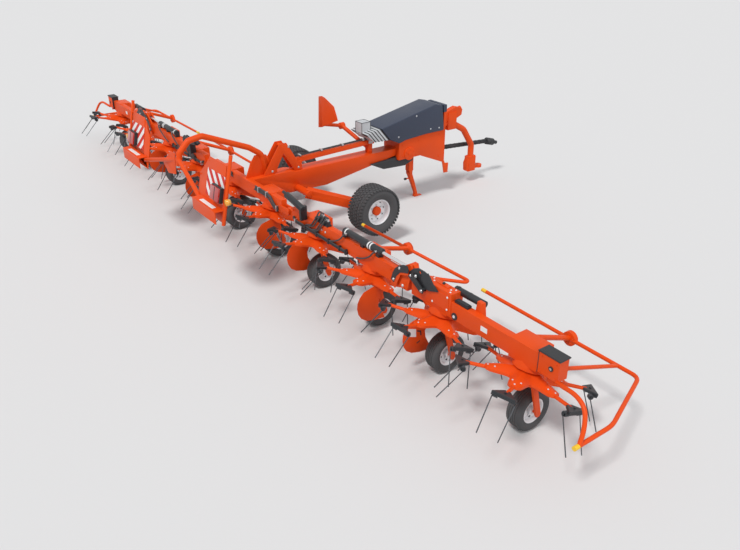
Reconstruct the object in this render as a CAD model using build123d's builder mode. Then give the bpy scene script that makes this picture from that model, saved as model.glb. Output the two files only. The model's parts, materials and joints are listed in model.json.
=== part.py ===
from build123d import *
from math import cos, radians, sin
import os

os.makedirs("parts", exist_ok=True)

# Trailed rotary hay tedder, unfolded for work, in millimetres.
# +X is the machine's right, +Y its direction of travel and +Z up.
# Places are worked out from the ground under the middle of the row of rotors.
# Each piece is then moved back, so that the origin is under the middle of the whole machine.

MIDDLE = 1775

# Driving dimensions of the row of rotors
PITCH = 1080
ROTORS = 10
HUB_HEIGHT = 569
TILT = 17
PHASE_EVEN = -7
PHASE_ODD = 37
CLEARANCE = 0.3
WORKING_GAP = 8

# Rotor, measured from the middle of its hub along and across its axis
ARMS = 6
STAR_OUTLINE = [(195, -30), (250, -17), (335, -10), (360, -5), (360, 5), (335, 10), (250, 17)]
STAR_LOW = -12
STAR_HIGH = 22
DOME_TOP = 75
DOME_FOOT_RADIUS = 190
DOME_TOP_RADIUS = 105
BOSS_DEPTH = 30
BOSS_RADIUS = 75
SPINDLE_RADIUS = 36
ARM_RADIUS = 19
ARM_START = 320
ARM_END = 520
BRACKET_RADIUS = 554
BRACKET_OUTLINE = [(505, -30), (600, -100), (600, 100), (505, 30)]
BRACKET_THICK = 26
COIL_RADIUS = 20
COIL_OFFSET = 75
COIL_LENGTH = 44
COIL_DROP = 32
TINE_RADIUS = 5.5
TINE_REACH = 148
TINE_DROP = 295

# Gauge wheels: radius, width, rim radius
NARROW_WHEEL = (202.5, 165, 104)
WIDE_WHEEL = (228.5, 216, 104)
WHEEL_LINE = 74
WHEEL_SIDES = 24
TYRE_SHOULDER = 34
RIM_WEB = 22
AXLE_RADIUS = 14
HUB_BOSS_RADIUS = 38
LEG_WIDTH = 60
LEG_THICK = 24
LEG_GAP = 14
CROSSBAR_TOP = 34
CROSSBAR_THICK = 28

# Plate beside a gauge wheel, which keeps hay from winding up; its outline is in (y, z)
PLATE_THICK = 5
PLATE_OFFSET = 165
PLATE_OUTLINE = [
    (30, 530), (-120, 580), (-240, 550), (-290, 500), (-320, 440), (-325, 380), (-310, 310), (-275, 250),
    (-210, 205), (-110, 178), (30, 165), (0, 250), (-40, 330), (-50, 400), (-20, 460), (30, 490),
]

# Beam that carries the rotors, and the housings and gear boxes over the hubs
BEAM_REAR = -78
BEAM_FRONT = -2
BEAM_LOW = 738
BEAM_TOP = 902
HOUSING_FOOT_RADIUS = 150
HOUSING_TOP_RADIUS = 110
HOUSING_TOP = 200
BOX_LOW = (-150, -78, 720)
BOX_HIGH = (150, 118, 908)

# Fold hinges between the sections
INNER_HINGE = (1080, 800)
OUTER_HINGE = (3400, 1000)
PIN_RADIUS = 20
EYE_RADIUS = 42
LUG_MIDDLE = (-60, -20)
LUG_OUTER = ((-86, -66), (-14, 6))
CENTRE_END = 950
INNER_START = 1205
INNER_END = 3370
OUTER_START = 3430
OUTER_END = 5120

# Pieces on the outer sections: hinge box, end flange and end box, as lowest and highest corners
HINGE_BOX = ((3610, -84, 760), (3990, 30, 975))
END_FLANGE = ((5120, -100, 730), (5135, 20, 935))
END_NECK = ((5135, -70, 790), (5150, -5, 900))
END_BOX = ((5150, -80, 760), (5250, 5, 950))
STRUT_LINE = 60
STRUT_RADIUS = 35
STRUT_POST = [(4200, 740), (4340, 740), (4300, 1000), (4240, 1000)]

# Lever, link and cover at the outer hinge, as (x, z) points with the faces that they lie between
LEVER = [(3150, 740), (3220, 720), (3300, 900), (3420, 940), (3420, 975), (3280, 965), (3200, 880)]
LEVER_FACES = (-118, -110)
LEVER_BOSS = (3208, 775)
BOSS_HALF = 20
LINK = [(3430, 950), (3490, 1000), (3660, 890), (3650, 850), (3610, 850)]
LINK_FACES = (-132, -124)
LINK_COVER = [
    (3400, 960), (3470, 1030), (3540, 1065), (3630, 1065), (3700, 1050), (3750, 990), (3830, 940),
    (3720, 900), (3570, 880), (3450, 930),
]
LINK_COVER_FACES = (-104, -92)
COVER_WINDOW = (3570, 1030, 16)
COVER_SEAT = ((3630, 900), (3700, 960))
LINK_BOSS = (3636, 880)
STRUT_ENDS = ((3900, 950), (4270, 955))
STRUT_SEAT = ((3900, 0, 925), (3960, 60, 970))
BEAM_FLAP = ((4010, -60, 902), (4180, -10, 925))

# Places along an inner section, as x or (x, z), for its cylinders, their seats, the hose and the valves
BARREL_FROM = 2250
BARREL_TO = 2900
ROD_TO = 3330
ROD_EYE = 3315
SEATS = (2240, 2570, 2840)
SEAT_LENGTH = 50
SEAT_HALF = 32
INNER_CYLINDER = ((1600, 1020), (1240, 1085), (1160, 1100))
INNER_SEAT = ((1500, 860), (1540, 1030))
HOSE_ENDS = (1250, 2360)
VALVE_BLOCKS = [
    ((1780, -75, 902), (1950, -15, 920)),
    ((1790, -70, 920), (1850, -20, 985)),
    ((1880, -70, 920), (1940, -20, 960)),
]

# Fold cylinders, with hoses along the rear of the beams
CYLINDER_RADIUS = 38
ROD_RADIUS = 18
OUTER_CYLINDER = (-40, 965)
INNER_CYLINDER_LINE = -160
HOSE_RADIUS = 14
HOSE_LINE = BEAM_REAR - HOSE_RADIUS - CLEARANCE
HOSE_HEIGHT = 752

# Front guard rails
GUARD_RADIUS = 19
GUARD_BEND = 70
GUARD_LINE = 820
GUARD_HEIGHT = 520
GUARD_HUB_RADIUS = 72
GUARD_HUB_WIDTH = 50
GUARD_ARM_RADIUS = 26
GUARD_ARM_FOOT = 850
GUARD_FLANGE_HALF = 45

# Transport wheels
ROAD_WHEEL = (330, 300, 165)
ROAD_WHEEL_SIDES = 28
ROAD_WHEEL_FACE = 1169
ROAD_AXLE = (1256, 485)
ARM_PIVOT = (650, 650)
ARM_PIVOT_RADIUS = 48
ARM_PIN_RADIUS = 30
ARM_PIN_END = 436
ROAD_AXLE_RADIUS = 30

# Chassis
CHASSIS_HALF = 105
EYE_BORE = 25
STAND_PIVOT = (2680, 405)
STAND_HALF = 28
STAND_PIN_RADIUS = 10
TOW_EYE = (4130, 235)


def prism(start, end, radius, sides=8, turn=0):
    """A straight bar with a regular outline, from one point to another."""
    way = Vector(*end) - Vector(*start)
    with BuildPart() as piece:
        with BuildSketch(Plane(origin=start, z_dir=way)):
            RegularPolygon(radius, sides, rotation=turn)
        extrude(amount=way.length)
    return piece.part


def round_bar(start, end, radius):
    """A straight round bar from one point to another."""
    way = Vector(*end) - Vector(*start)
    with BuildPart() as piece:
        with BuildSketch(Plane(origin=start, z_dir=way)):
            Circle(radius)
        extrude(amount=way.length)
    return piece.part


def bent_tube(points, radius, bends):
    """A round tube along straight runs joined by arcs."""
    with BuildPart() as piece:
        with BuildLine() as path:
            FilletPolyline(*points, radius=bends)
        with BuildSketch(path.line ^ 0):
            Circle(radius)
        sweep(path=path.line)
    return piece.part


def side_plate(outline, x_from, x_to):
    """A plate or block whose outline lies across the machine, as (y, z) points."""
    with BuildPart() as piece:
        with BuildSketch(Plane.YZ.offset(x_from)):
            with BuildLine():
                Polyline(*outline, close=True)
            make_face()
        extrude(amount=x_to - x_from)
    return piece.part


def front_plate(outline, y_from, y_to):
    """A plate or block whose outline is seen from behind, as (x, z) points."""
    with BuildPart() as piece:
        with BuildSketch(Plane(origin=(0, y_from, 0), x_dir=(1, 0, 0), z_dir=(0, -1, 0))):
            with BuildLine():
                Polyline(*outline, close=True)
            make_face()
        extrude(amount=y_from - y_to)
    return piece.part


def block(low, high):
    """A square block between its lowest and highest corners."""
    with BuildPart() as piece:
        with Locations(tuple((a + b) / 2 for a, b in zip(low, high))):
            Box(*(b - a for a, b in zip(low, high)))
    return piece.part


def save(solid, name):
    """Label a finished piece and write it."""
    placed = Pos(0, -MIDDLE, 0) * solid
    placed.label = name
    export_step(placed, f"parts/{name}.step")


def rotor_x(index):
    """Place of a rotor along the row, counted from the right end."""
    return ((ROTORS - 1) / 2 - index) * PITCH


def rotor_plane(index):
    """The tilted plane through a rotor's brackets, its z along the rotor's axis."""
    return Plane(
        origin=(rotor_x(index), 0, HUB_HEIGHT),
        x_dir=(1, 0, 0),
        z_dir=(0, sin(radians(TILT)), cos(radians(TILT))),
    )


def polar(radius, angle, across=0, z=0):
    """A point at a radius and angle, moved across that radius."""
    turn = radians(angle)
    return (
        radius * cos(turn) - across * sin(turn),
        radius * sin(turn) + across * cos(turn),
        z,
    )


def make_rotor():
    """One rotor about its own axis: star, arms, tine holders, coils and tines."""
    angles = [360 / ARMS * arm for arm in range(ARMS)]
    with BuildPart() as rotor:
        with BuildSketch(Plane.XY.offset(STAR_LOW)):
            with BuildLine():
                Polyline(
                    *(polar(radius, angle + turn)[:2] for angle in angles for radius, turn in STAR_OUTLINE),
                    close=True,
                )
            make_face()
        extrude(amount=STAR_HIGH - STAR_LOW)
        with BuildSketch(Plane.XY.offset(STAR_HIGH)):
            RegularPolygon(DOME_FOOT_RADIUS, 12)
        with BuildSketch(Plane.XY.offset(DOME_TOP)):
            RegularPolygon(DOME_TOP_RADIUS, 12)
        loft()
        with BuildSketch(Plane.XY.offset(STAR_LOW)):
            RegularPolygon(BOSS_RADIUS, 12)
        extrude(amount=-(BOSS_DEPTH + STAR_LOW))
        for angle in angles:
            add(prism(polar(ARM_START, angle), polar(ARM_END, angle), ARM_RADIUS, 8))
            with BuildSketch(Plane.XY.offset(-BRACKET_THICK / 2)):
                with BuildLine():
                    Polyline(
                        *(polar(radius, angle, across)[:2] for radius, across in BRACKET_OUTLINE),
                        close=True,
                    )
                make_face()
            extrude(amount=BRACKET_THICK)
            for side in (-1, 1):
                near = side * (COIL_OFFSET - COIL_LENGTH / 2)
                far = side * (COIL_OFFSET + COIL_LENGTH / 2)
                middle = side * COIL_OFFSET
                add(prism(
                    polar(BRACKET_RADIUS, angle, near, -COIL_DROP + COIL_RADIUS / 2),
                    polar(BRACKET_RADIUS, angle, far, -COIL_DROP + COIL_RADIUS / 2),
                    COIL_RADIUS, 8,
                ))
                add(prism(
                    polar(BRACKET_RADIUS, angle, middle, -COIL_DROP),
                    polar(BRACKET_RADIUS + TINE_REACH, angle, middle, -COIL_DROP - TINE_DROP),
                    TINE_RADIUS, 6,
                ))
        with Locations((0, 0, DOME_TOP)):
            Hole(SPINDLE_RADIUS + CLEARANCE, depth=DOME_TOP + BOSS_DEPTH)
    return rotor.part


def wheel_solid(size, sides):
    """A wheel about X: tyre with chamfered shoulders, web, hub boss and axle bore."""
    radius, width, rim = size
    with BuildPart() as wheel:
        with BuildSketch(Plane.YZ.offset(-width / 2)):
            RegularPolygon(radius, sides, major_radius=False, rotation=180 / sides)
            RegularPolygon(rim, sides, rotation=180 / sides, mode=Mode.SUBTRACT)
        extrude(amount=width)
        shoulder = wheel.faces().filter_by(Axis.X).edges().filter_by(
            lambda edge: Vector(0, edge.center().Y, edge.center().Z).length > (radius + rim) / 2
        )
        chamfer(shoulder, length=TYRE_SHOULDER * radius / NARROW_WHEEL[0])
        with BuildSketch(Plane.YZ.offset(-RIM_WEB / 2)):
            RegularPolygon(rim + 1, sides, rotation=180 / sides)
        extrude(amount=RIM_WEB)
        with BuildSketch(Plane.YZ.offset(-width * 0.4)):
            RegularPolygon(HUB_BOSS_RADIUS, 12)
        extrude(amount=width * 0.8)
        with BuildSketch(Plane.YZ.offset(-width * 0.4)):
            Circle(AXLE_RADIUS + CLEARANCE)
        extrude(amount=width * 0.8, mode=Mode.SUBTRACT)
    return wheel.part


def wheel_size(index):
    """The two middle rotors have the wide gauge wheels."""
    return WIDE_WHEEL if index in (4, 5) else NARROW_WHEEL


def make_leg(index):
    """Spindle through the hub, and the bent leg round the tyre to the axle."""
    plane = rotor_plane(index)
    radius, width, rim = wheel_size(index)
    x = rotor_x(index)
    outside = x + width / 2 + LEG_GAP
    top = plane.from_local_coords(Vector(0, 0, -CROSSBAR_TOP - CROSSBAR_THICK / 2))
    spindle_top = plane.from_local_coords(Vector(0, 0, HOUSING_TOP - 20))
    spindle_foot = plane.from_local_coords(Vector(0, 0, -CROSSBAR_TOP - CROSSBAR_THICK))
    with BuildPart() as leg:
        add(round_bar(tuple(spindle_top), tuple(spindle_foot), SPINDLE_RADIUS))
        with BuildSketch(plane.offset(-CROSSBAR_TOP)):
            with Locations(((outside + LEG_THICK - x - LEG_WIDTH / 2) / 2, 0)):
                Rectangle(outside + LEG_THICK - x + LEG_WIDTH / 2, LEG_WIDTH)
        extrude(amount=-CROSSBAR_THICK)
        add(side_plate(
            [
                (top.Y - LEG_WIDTH / 2, top.Z + CROSSBAR_THICK / 2),
                (top.Y + LEG_WIDTH / 2, top.Z + CROSSBAR_THICK / 2 - 12),
                (WHEEL_LINE + LEG_WIDTH / 2, radius),
                (WHEEL_LINE + LEG_WIDTH / 4, radius - LEG_WIDTH / 2),
                (WHEEL_LINE - LEG_WIDTH / 4, radius - LEG_WIDTH / 2),
                (WHEEL_LINE - LEG_WIDTH / 2, radius),
            ],
            outside, outside + LEG_THICK,
        ))
        add(round_bar(
            (outside + LEG_THICK, WHEEL_LINE, radius),
            (x - width * 0.4, WHEEL_LINE, radius),
            AXLE_RADIUS,
        ))
    return leg.part


def make_housing(index):
    """Round housing from the beam down to the hub, with the gear box above it."""
    plane = rotor_plane(index)
    x = rotor_x(index)
    with BuildPart() as housing:
        with BuildSketch(plane.offset(DOME_TOP + WORKING_GAP)):
            RegularPolygon(HOUSING_FOOT_RADIUS, 12)
        with BuildSketch(plane.offset(HOUSING_TOP)):
            RegularPolygon(HOUSING_TOP_RADIUS, 12)
        loft()
        add(block((x + BOX_LOW[0], *BOX_LOW[1:]), (x + BOX_HIGH[0], *BOX_HIGH[1:])))
    return housing.part


def make_plate(index, side):
    """Plate on one side of a gauge wheel, with the strap that holds it."""
    x = rotor_x(index)
    foot = rotor_plane(index).from_local_coords(Vector(0, 0, -CROSSBAR_TOP - CROSSBAR_THICK / 2))
    face = x + side * PLATE_OFFSET
    back = face + side * PLATE_THICK
    with BuildPart() as plate:
        add(side_plate(PLATE_OUTLINE, min(face, back), max(face, back)))
        add(block((min(x, back), foot.Y - 22, foot.Z - 14), (max(x, back), foot.Y + 18, foot.Z + 6)))
    return plate.part


def beam(x_from, x_to):
    """The box beam between two places along the row."""
    return block((x_from, BEAM_REAR, BEAM_LOW), (x_to, BEAM_FRONT, BEAM_TOP))


def inner_lug(toward):
    """Eye on the inner fold pin; toward is -1 for the centre's lug and 1 for the wing's."""
    x, z = INNER_HINGE
    flat = 34
    root = CENTRE_END - 60 if toward < 0 else INNER_START + 60
    return [
        (root, z - flat), (root, z + flat),
        (x - toward * 20, z + EYE_RADIUS), (x - toward * EYE_RADIUS, z + 18),
        (x - toward * EYE_RADIUS, z - 18), (x - toward * 20, z - EYE_RADIUS),
    ]


def outer_lug(toward):
    """Eye on the outer fold pin, on the end of the inner beam (-1) or the outer (1)."""
    x, z = OUTER_HINGE
    end = INNER_END if toward < 0 else OUTER_START
    far = end + toward * 190
    return [
        (far, BEAM_LOW + 4), (end, BEAM_LOW + 4), (x - toward * 36, z - 15),
        (x - toward * 20, z + 35), (x + toward * 24, z + 35), (far, BEAM_TOP + 1),
    ]


def pin_hole(x, z):
    """The clearance bore of a fold pin, to cut from a lug."""
    return round_bar((x, LUG_MIDDLE[0] - 5, z), (x, LUG_MIDDLE[1] + 5, z), PIN_RADIUS + CLEARANCE)


def fold_pin(x, z):
    """A fold pin from one outer lug plate to the other."""
    return round_bar((x, LUG_OUTER[0][0], z), (x, LUG_OUTER[1][1], z), PIN_RADIUS)


def make_centre():
    """Centre section: beam, housings, legs, plates and the outer halves of the fold lugs."""
    with BuildPart() as centre:
        add(beam(-CENTRE_END, CENTRE_END))
        for index, plate_side in ((4, 1), (5, -1)):
            add(make_housing(index))
            add(make_leg(index))
            add(make_plate(index, plate_side))
        for side in (1, -1):
            for low, high in LUG_OUTER:
                add(front_plate([(side * px, pz) for px, pz in inner_lug(-1)], high, low))
            add(fold_pin(side * INNER_HINGE[0], INNER_HINGE[1]))
    return centre.part


def make_inner():
    """Right inner section, rotors 3 and 4 counted from the right end, with the lever at its outer hinge."""
    with BuildPart() as inner:
        add(beam(INNER_START, INNER_END))
        for index, plate_side in ((3, -1), (2, 1)):
            add(make_housing(index))
            add(make_leg(index))
            add(make_plate(index, plate_side))
        add(front_plate(inner_lug(1), LUG_MIDDLE[1], LUG_MIDDLE[0]))
        add(pin_hole(*INNER_HINGE), mode=Mode.SUBTRACT)
        for low, high in LUG_OUTER:
            add(front_plate(outer_lug(-1), high, low))
        add(fold_pin(*OUTER_HINGE))
        add(front_plate(LEVER, LEVER_FACES[1], LEVER_FACES[0]))
        add(round_bar(
            (LEVER_BOSS[0], LEVER_FACES[0], LEVER_BOSS[1]),
            (LEVER_BOSS[0], LUG_OUTER[0][1], LEVER_BOSS[1]),
            BOSS_HALF,
        ))
    return inner.part


def make_outer():
    """Right outer section, rotors 1 and 2 counted from the right end."""
    with BuildPart() as outer:
        add(beam(OUTER_START, OUTER_END))
        for index in (1, 0):
            add(make_housing(index))
            add(make_leg(index))
        add(make_plate(1, -1))
        add(front_plate(outer_lug(1), LUG_MIDDLE[1], LUG_MIDDLE[0]))
        add(pin_hole(*OUTER_HINGE), mode=Mode.SUBTRACT)
        for low, high in (HINGE_BOX, END_FLANGE, END_NECK, END_BOX):
            add(block(low, high))
        add(front_plate(STRUT_POST, BEAM_FRONT + 36, BEAM_FRONT - 4))
    return outer.part


def make_fold_cylinders(frame_solid):
    """Both fold cylinders of an inner section with what seats them, its valves and its hose."""
    outer_y, outer_z = OUTER_CYLINDER
    inner_y = INNER_CYLINDER_LINE
    foot, neck, rod_end = ((x, inner_y, z) for x, z in INNER_CYLINDER)
    (seat_x, seat_z), (seat_end, seat_top) = INNER_SEAT
    with BuildPart() as group:
        add(round_bar((BARREL_FROM, outer_y, outer_z), (BARREL_TO, outer_y, outer_z), CYLINDER_RADIUS))
        add(round_bar((BARREL_TO, outer_y, outer_z), (ROD_TO, outer_y, outer_z), ROD_RADIUS))
        add(round_bar((ROD_EYE, outer_y - 22, outer_z), (ROD_EYE, outer_y + 22, outer_z), ROD_RADIUS + 5))
        for x in SEATS:
            add(block((x, outer_y - SEAT_HALF, BEAM_TOP), (x + SEAT_LENGTH, outer_y + SEAT_HALF, outer_z)))
        add(round_bar(foot, neck, CYLINDER_RADIUS))
        add(round_bar(neck, rod_end, ROD_RADIUS))
        add(block((seat_x, inner_y, seat_z), (seat_end, BEAM_REAR, seat_top)))
        for low, high in VALVE_BLOCKS:
            add(block(low, high))
        add(bent_tube(
            [
                (HOSE_ENDS[0], HOSE_LINE, HOSE_HEIGHT + 48),
                (HOSE_ENDS[0] + 80, HOSE_LINE, HOSE_HEIGHT),
                (HOSE_ENDS[1], HOSE_LINE, HOSE_HEIGHT),
            ],
            HOSE_RADIUS, 60,
        ))
        add(frame_solid, mode=Mode.SUBTRACT)
    return group.part


def make_fold_link(frame_solid):
    """Cover and link at the outer hinge, and the strut behind it, which ride on the outer section."""
    rear, front = LINK_COVER_FACES
    window_x, window_z, window_radius = COVER_WINDOW
    (seat_x, seat_z), (seat_end, seat_top) = COVER_SEAT
    (strut_x, strut_z), (strut_end, strut_top) = STRUT_ENDS
    with BuildPart() as link:
        add(front_plate(LINK_COVER, front, rear))
        window = round_bar((window_x, rear, window_z), (window_x, front, window_z), window_radius)
        add(window, mode=Mode.SUBTRACT)
        add(block((seat_x, rear, seat_z), (seat_end, HINGE_BOX[0][1], seat_top)))
        add(front_plate(LINK, LINK_FACES[1], LINK_FACES[0]))
        boss_x, boss_z = LINK_BOSS
        add(round_bar((boss_x, LINK_FACES[0], boss_z), (boss_x, front, boss_z), BOSS_HALF))
        add(round_bar((strut_x, STRUT_LINE, strut_z), (strut_end, STRUT_LINE, strut_top), STRUT_RADIUS))
        for low, high in (STRUT_SEAT, BEAM_FLAP):
            add(block(low, high))
        add(frame_solid, mode=Mode.SUBTRACT)
    return link.part


def guard_arm(foot_x, rail_x):
    """Straight arm from the front of the beam to a guard rail, with its flange on the beam."""
    with BuildPart() as arm:
        add(round_bar(
            (foot_x, BEAM_FRONT - 4, GUARD_ARM_FOOT),
            (rail_x, GUARD_LINE, GUARD_HEIGHT + 5),
            GUARD_ARM_RADIUS,
        ))
        add(block(
            (foot_x - GUARD_FLANGE_HALF, BEAM_FRONT, GUARD_ARM_FOOT - GUARD_FLANGE_HALF),
            (foot_x + GUARD_FLANGE_HALF, BEAM_FRONT + 12, GUARD_ARM_FOOT + GUARD_FLANGE_HALF),
        ))
    return arm.part


def make_guard_inner(frame_solid):
    """Front rail of an inner section, with its hub, arm and end brace."""
    hub = (2270, GUARD_LINE, GUARD_HEIGHT)
    with BuildPart() as guard:
        add(bent_tube(
            [
                (1400, GUARD_LINE - 20, GUARD_HEIGHT),
                (3340, GUARD_LINE + 20, GUARD_HEIGHT),
                (3050, 560, GUARD_HEIGHT + 20),
                (2850, BEAM_FRONT - 4, BEAM_LOW + 42),
            ],
            GUARD_RADIUS, [40, 300],
        ))
        add(guard_arm(2520, 2280))
        add(round_bar(
            (hub[0], hub[1] - GUARD_HUB_WIDTH / 2, hub[2]),
            (hub[0], hub[1] + GUARD_HUB_WIDTH / 2, hub[2]),
            GUARD_HUB_RADIUS,
        ))
        add(frame_solid, mode=Mode.SUBTRACT)
    return guard.part


def make_guard_outer(frame_solid):
    """Front rail of an outer section, bent round its end rotor, with arms and end hoop."""
    end_x = 5660
    with BuildPart() as guard:
        add(bent_tube(
            [
                (3500, GUARD_LINE, GUARD_HEIGHT),
                (5400, GUARD_LINE - 20, GUARD_HEIGHT),
                (end_x, 100, GUARD_HEIGHT),
                (end_x, -300, GUARD_HEIGHT),
                (5610, -230, 690),
                (5470, -130, 790),
                (5246, -60, 800),
            ],
            GUARD_RADIUS, [60, GUARD_BEND, 30, 60, 60],
        ))
        add(guard_arm(4660, 4650))
        add(round_bar((5190, END_BOX[1][1] - 4, 808), (5190, 800, GUARD_HEIGHT + 5), GUARD_RADIUS))
        add(round_bar(
            (4650, GUARD_LINE - GUARD_HUB_WIDTH / 2, GUARD_HEIGHT),
            (4650, GUARD_LINE + GUARD_HUB_WIDTH / 2, GUARD_HEIGHT),
            GUARD_HUB_RADIUS,
        ))
        add(frame_solid, mode=Mode.SUBTRACT)
    return guard.part


# Rotors, in two phases, so that neighbours mesh

rotor_part = make_rotor()
for index in range(ROTORS):
    phase = PHASE_EVEN if index % 2 == 0 else PHASE_ODD
    save(rotor_plane(index).location * Rot(0, 0, phase) * rotor_part, f"rotor_{index + 1:02d}")

# Gauge wheels

wheel_parts = {size: wheel_solid(size, WHEEL_SIDES) for size in (NARROW_WHEEL, WIDE_WHEEL)}
for index in range(ROTORS):
    size = wheel_size(index)
    place = Location((rotor_x(index), WHEEL_LINE, size[0]))
    save(place * wheel_parts[size], f"gauge_wheel_{index + 1:02d}")

# Sections of the row

centre_part = make_centre()
save(centre_part, "centre_frame")
inner_right = make_inner()
save(inner_right, "inner_frame_right")
save(mirror(inner_right, about=Plane.YZ), "inner_frame_left")
outer_right = make_outer()
save(outer_right, "outer_frame_right")
save(mirror(outer_right, about=Plane.YZ), "outer_frame_left")

# Fold cylinders on the inner sections, and the links on the outer ones

fold_cylinders = make_fold_cylinders(inner_right)
save(fold_cylinders, "fold_cylinder_outer_right")
save(mirror(fold_cylinders, about=Plane.YZ), "fold_cylinder_outer_left")
fold_link = make_fold_link(outer_right)
save(fold_link, "fold_link_right")
save(mirror(fold_link, about=Plane.YZ), "fold_link_left")

# Hoses along the rear of the centre section

hose_right = bent_tube(
    [(330, HOSE_LINE, 880), (700, HOSE_LINE, 880), (820, HOSE_LINE, 775), (880, HOSE_LINE, 775)],
    HOSE_RADIUS, 50,
)
with BuildPart() as hoses:
    add(hose_right)
    add(mirror(hose_right, about=Plane.YZ))
save(hoses.part, "hoses")

# Front guard rails

guard_inner = make_guard_inner(inner_right)
save(guard_inner, "guard_inner_right")
save(mirror(guard_inner, about=Plane.YZ), "guard_inner_left")
guard_outer = make_guard_outer(outer_right)
save(guard_outer, "guard_outer_right")
save(mirror(guard_outer, about=Plane.YZ), "guard_outer_left")

# Chassis beam, its upper tube and the mast

with BuildPart() as main_beam:
    add(side_plate(
        [
            (BEAM_FRONT, 740), (500, 605), (1120, 590), (2330, 780),
            (2330, 880), (640, 880), (560, 900), (BEAM_FRONT, 900),
        ],
        -CHASSIS_HALF, CHASSIS_HALF,
    ))
    add(round_bar((-ARM_PIN_END, *ARM_PIVOT), (ARM_PIN_END, *ARM_PIVOT), ARM_PIN_RADIUS))
save(main_beam.part, "main_beam")

with BuildPart() as upper_beam:
    add(prism((0, 690, 1000), (0, 1990, 1035), 44, 4, 45))
    add(block((-40, 1880, 880), (40, 1950, 1020)))
    add(block((-40, 700, 880), (40, 770, 990)))
save(upper_beam.part, "upper_beam")

MAST_OUTLINE = [(150, 885), (430, 1285), (530, 1285), (760, 885), (640, 885), (480, 1150), (330, 885)]
with BuildPart() as mast:
    for x in (-70, 58):
        add(side_plate(MAST_OUTLINE, x, x + 12))
    add(round_bar((-70, 480, 1240), (70, 480, 1240), 22))
    add(block((-70, 150, 875), (70, 330, 903)))
    add(main_beam.part, mode=Mode.SUBTRACT)
save(mast.part, "mast")

# Frames of the warning panels

PANEL_INNER = 830
PANEL_OUTER = 1430
PANEL_FOOT = Vector(0, -1060, 1000)
PANEL_HEAD = Vector(0, -900, 1750)
PANEL_SHEET = [(760, 20), (PANEL_OUTER, 20), (PANEL_OUTER, 644), (950, 613), (760, 409)]
SHEET_THICK = 5
panel_rise = (PANEL_HEAD - PANEL_FOOT).normalized()
panel_plane = Plane(origin=tuple(PANEL_FOOT), x_dir=(1, 0, 0), z_dir=(0, -panel_rise.Z, panel_rise.Y))
with BuildPart() as panel:
    add(round_bar((PANEL_OUTER, PANEL_FOOT.Y, PANEL_FOOT.Z), (PANEL_OUTER, PANEL_HEAD.Y, PANEL_HEAD.Z), 20))
    with BuildSketch(panel_plane.offset(-SHEET_THICK / 2)):
        with BuildLine():
            Polyline(*PANEL_SHEET, close=True)
        make_face()
    extrude(amount=SHEET_THICK)
    add(front_plate([(PANEL_INNER, 1020), (1410, 1020), (1410, 1160), (PANEL_INNER, 1160)], -1130, -1138))
    add(block((PANEL_INNER, -1138, 1152), (1410, -1020, 1160)))
save(panel.part, "panel_frame_right")
panel_left = mirror(panel.part, about=Plane.YZ)
save(panel_left, "panel_frame_left")

# Arch to the rear, with the frame of the warning panels

with BuildPart() as arch:
    add(bent_tube(
        [
            (0, 250, 900), (0, 190, 1180), (0, 20, 1300), (0, -600, 1560),
            (0, -780, 1530), (0, -905, 1400), (0, -930, 1250),
        ],
        38, [120, 150, 90, 90, 60],
    ))
    add(side_plate(
        [(-60, 890), (420, 890), (330, 1000), (260, 1160), (190, 1180), (90, 1180), (20, 1080)],
        -8, 8,
    ))
    for side in (-1, 1):
        add(round_bar((0, -925, 1330), (side * 845, -1045, 1120), 26))
    add(front_plate([(-440, 1180), (-300, 1080), (-60, 1130), (-20, 1400), (-160, 1400)], -950, -958))
    for piece in (main_beam.part, mast.part, centre_part, panel.part, panel_left):
        add(piece, mode=Mode.SUBTRACT)
save(arch.part, "arch")

BOARD_SIZE = 423
BOARD_CENTRE = (1165, 429)
with BuildPart() as board:
    with BuildSketch(panel_plane.offset(SHEET_THICK / 2)):
        with Locations(BOARD_CENTRE):
            Rectangle(BOARD_SIZE, BOARD_SIZE)
    extrude(amount=6)
save(board.part, "warning_board_right")
save(mirror(board.part, about=Plane.YZ), "warning_board_left")

# Lamps of the warning panels

with BuildPart() as lamp_red:
    with BuildSketch(panel_plane.offset(SHEET_THICK / 2 + 6)):
        with Locations((1270, 310)):
            Rectangle(200, 150)
    extrude(amount=60)
with BuildPart() as lamps_red:
    add(lamp_red.part)
    add(mirror(lamp_red.part, about=Plane.YZ))
save(lamps_red.part, "lamp_red")
with BuildPart() as lamp_amber:
    add(round_bar((1486, -1040, 1270), (1486, -985, 1270), 35))
    add(block((1435, -1015, 1255), (1470, -990, 1285)))
    add(panel.part, mode=Mode.SUBTRACT)
with BuildPart() as lamps_amber:
    add(lamp_amber.part)
    add(mirror(lamp_amber.part, about=Plane.YZ))
save(lamps_amber.part, "lamp_amber")

# Headstock: front plate and side plates

with BuildPart() as headstock:
    for x in (-182, 170):
        add(side_plate(
            [(2330, 720), (2330, 980), (2440, 1010), (2820, 1035), (3175, 1035), (3200, 520), (2730, 720)],
            x, x + 12,
        ))
    add(side_plate([(3175, 1400), (3215, 1400), (3215, 540), (3175, 540)], -180, 180))
    add(side_plate([(3180, 550), (3215, 550), (3240, 500), (3310, 490), (3305, 340), (3225, 345)], 168, 180))
    for face, outer in ((181, 200), (-181, -200)):
        add(round_bar((face, 2520, 790), (outer, 2520, 790), 95))
    add(block((-180, 2330, 760), (180, 2700, 780)))
    add(block((-180, 2330, 720), (180, 2345, 980)))
    add(block((-45, 2640, 450), (45, 2720, 770)))
    for x in (-45, 33):
        add(side_plate([(2645, 520), (2715, 520), (2705, 385), (2655, 385)], x, x + 12))
    add(round_bar((-45, *STAND_PIVOT), (45, *STAND_PIVOT), STAND_PIN_RADIUS))
save(headstock.part, "headstock")

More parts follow.
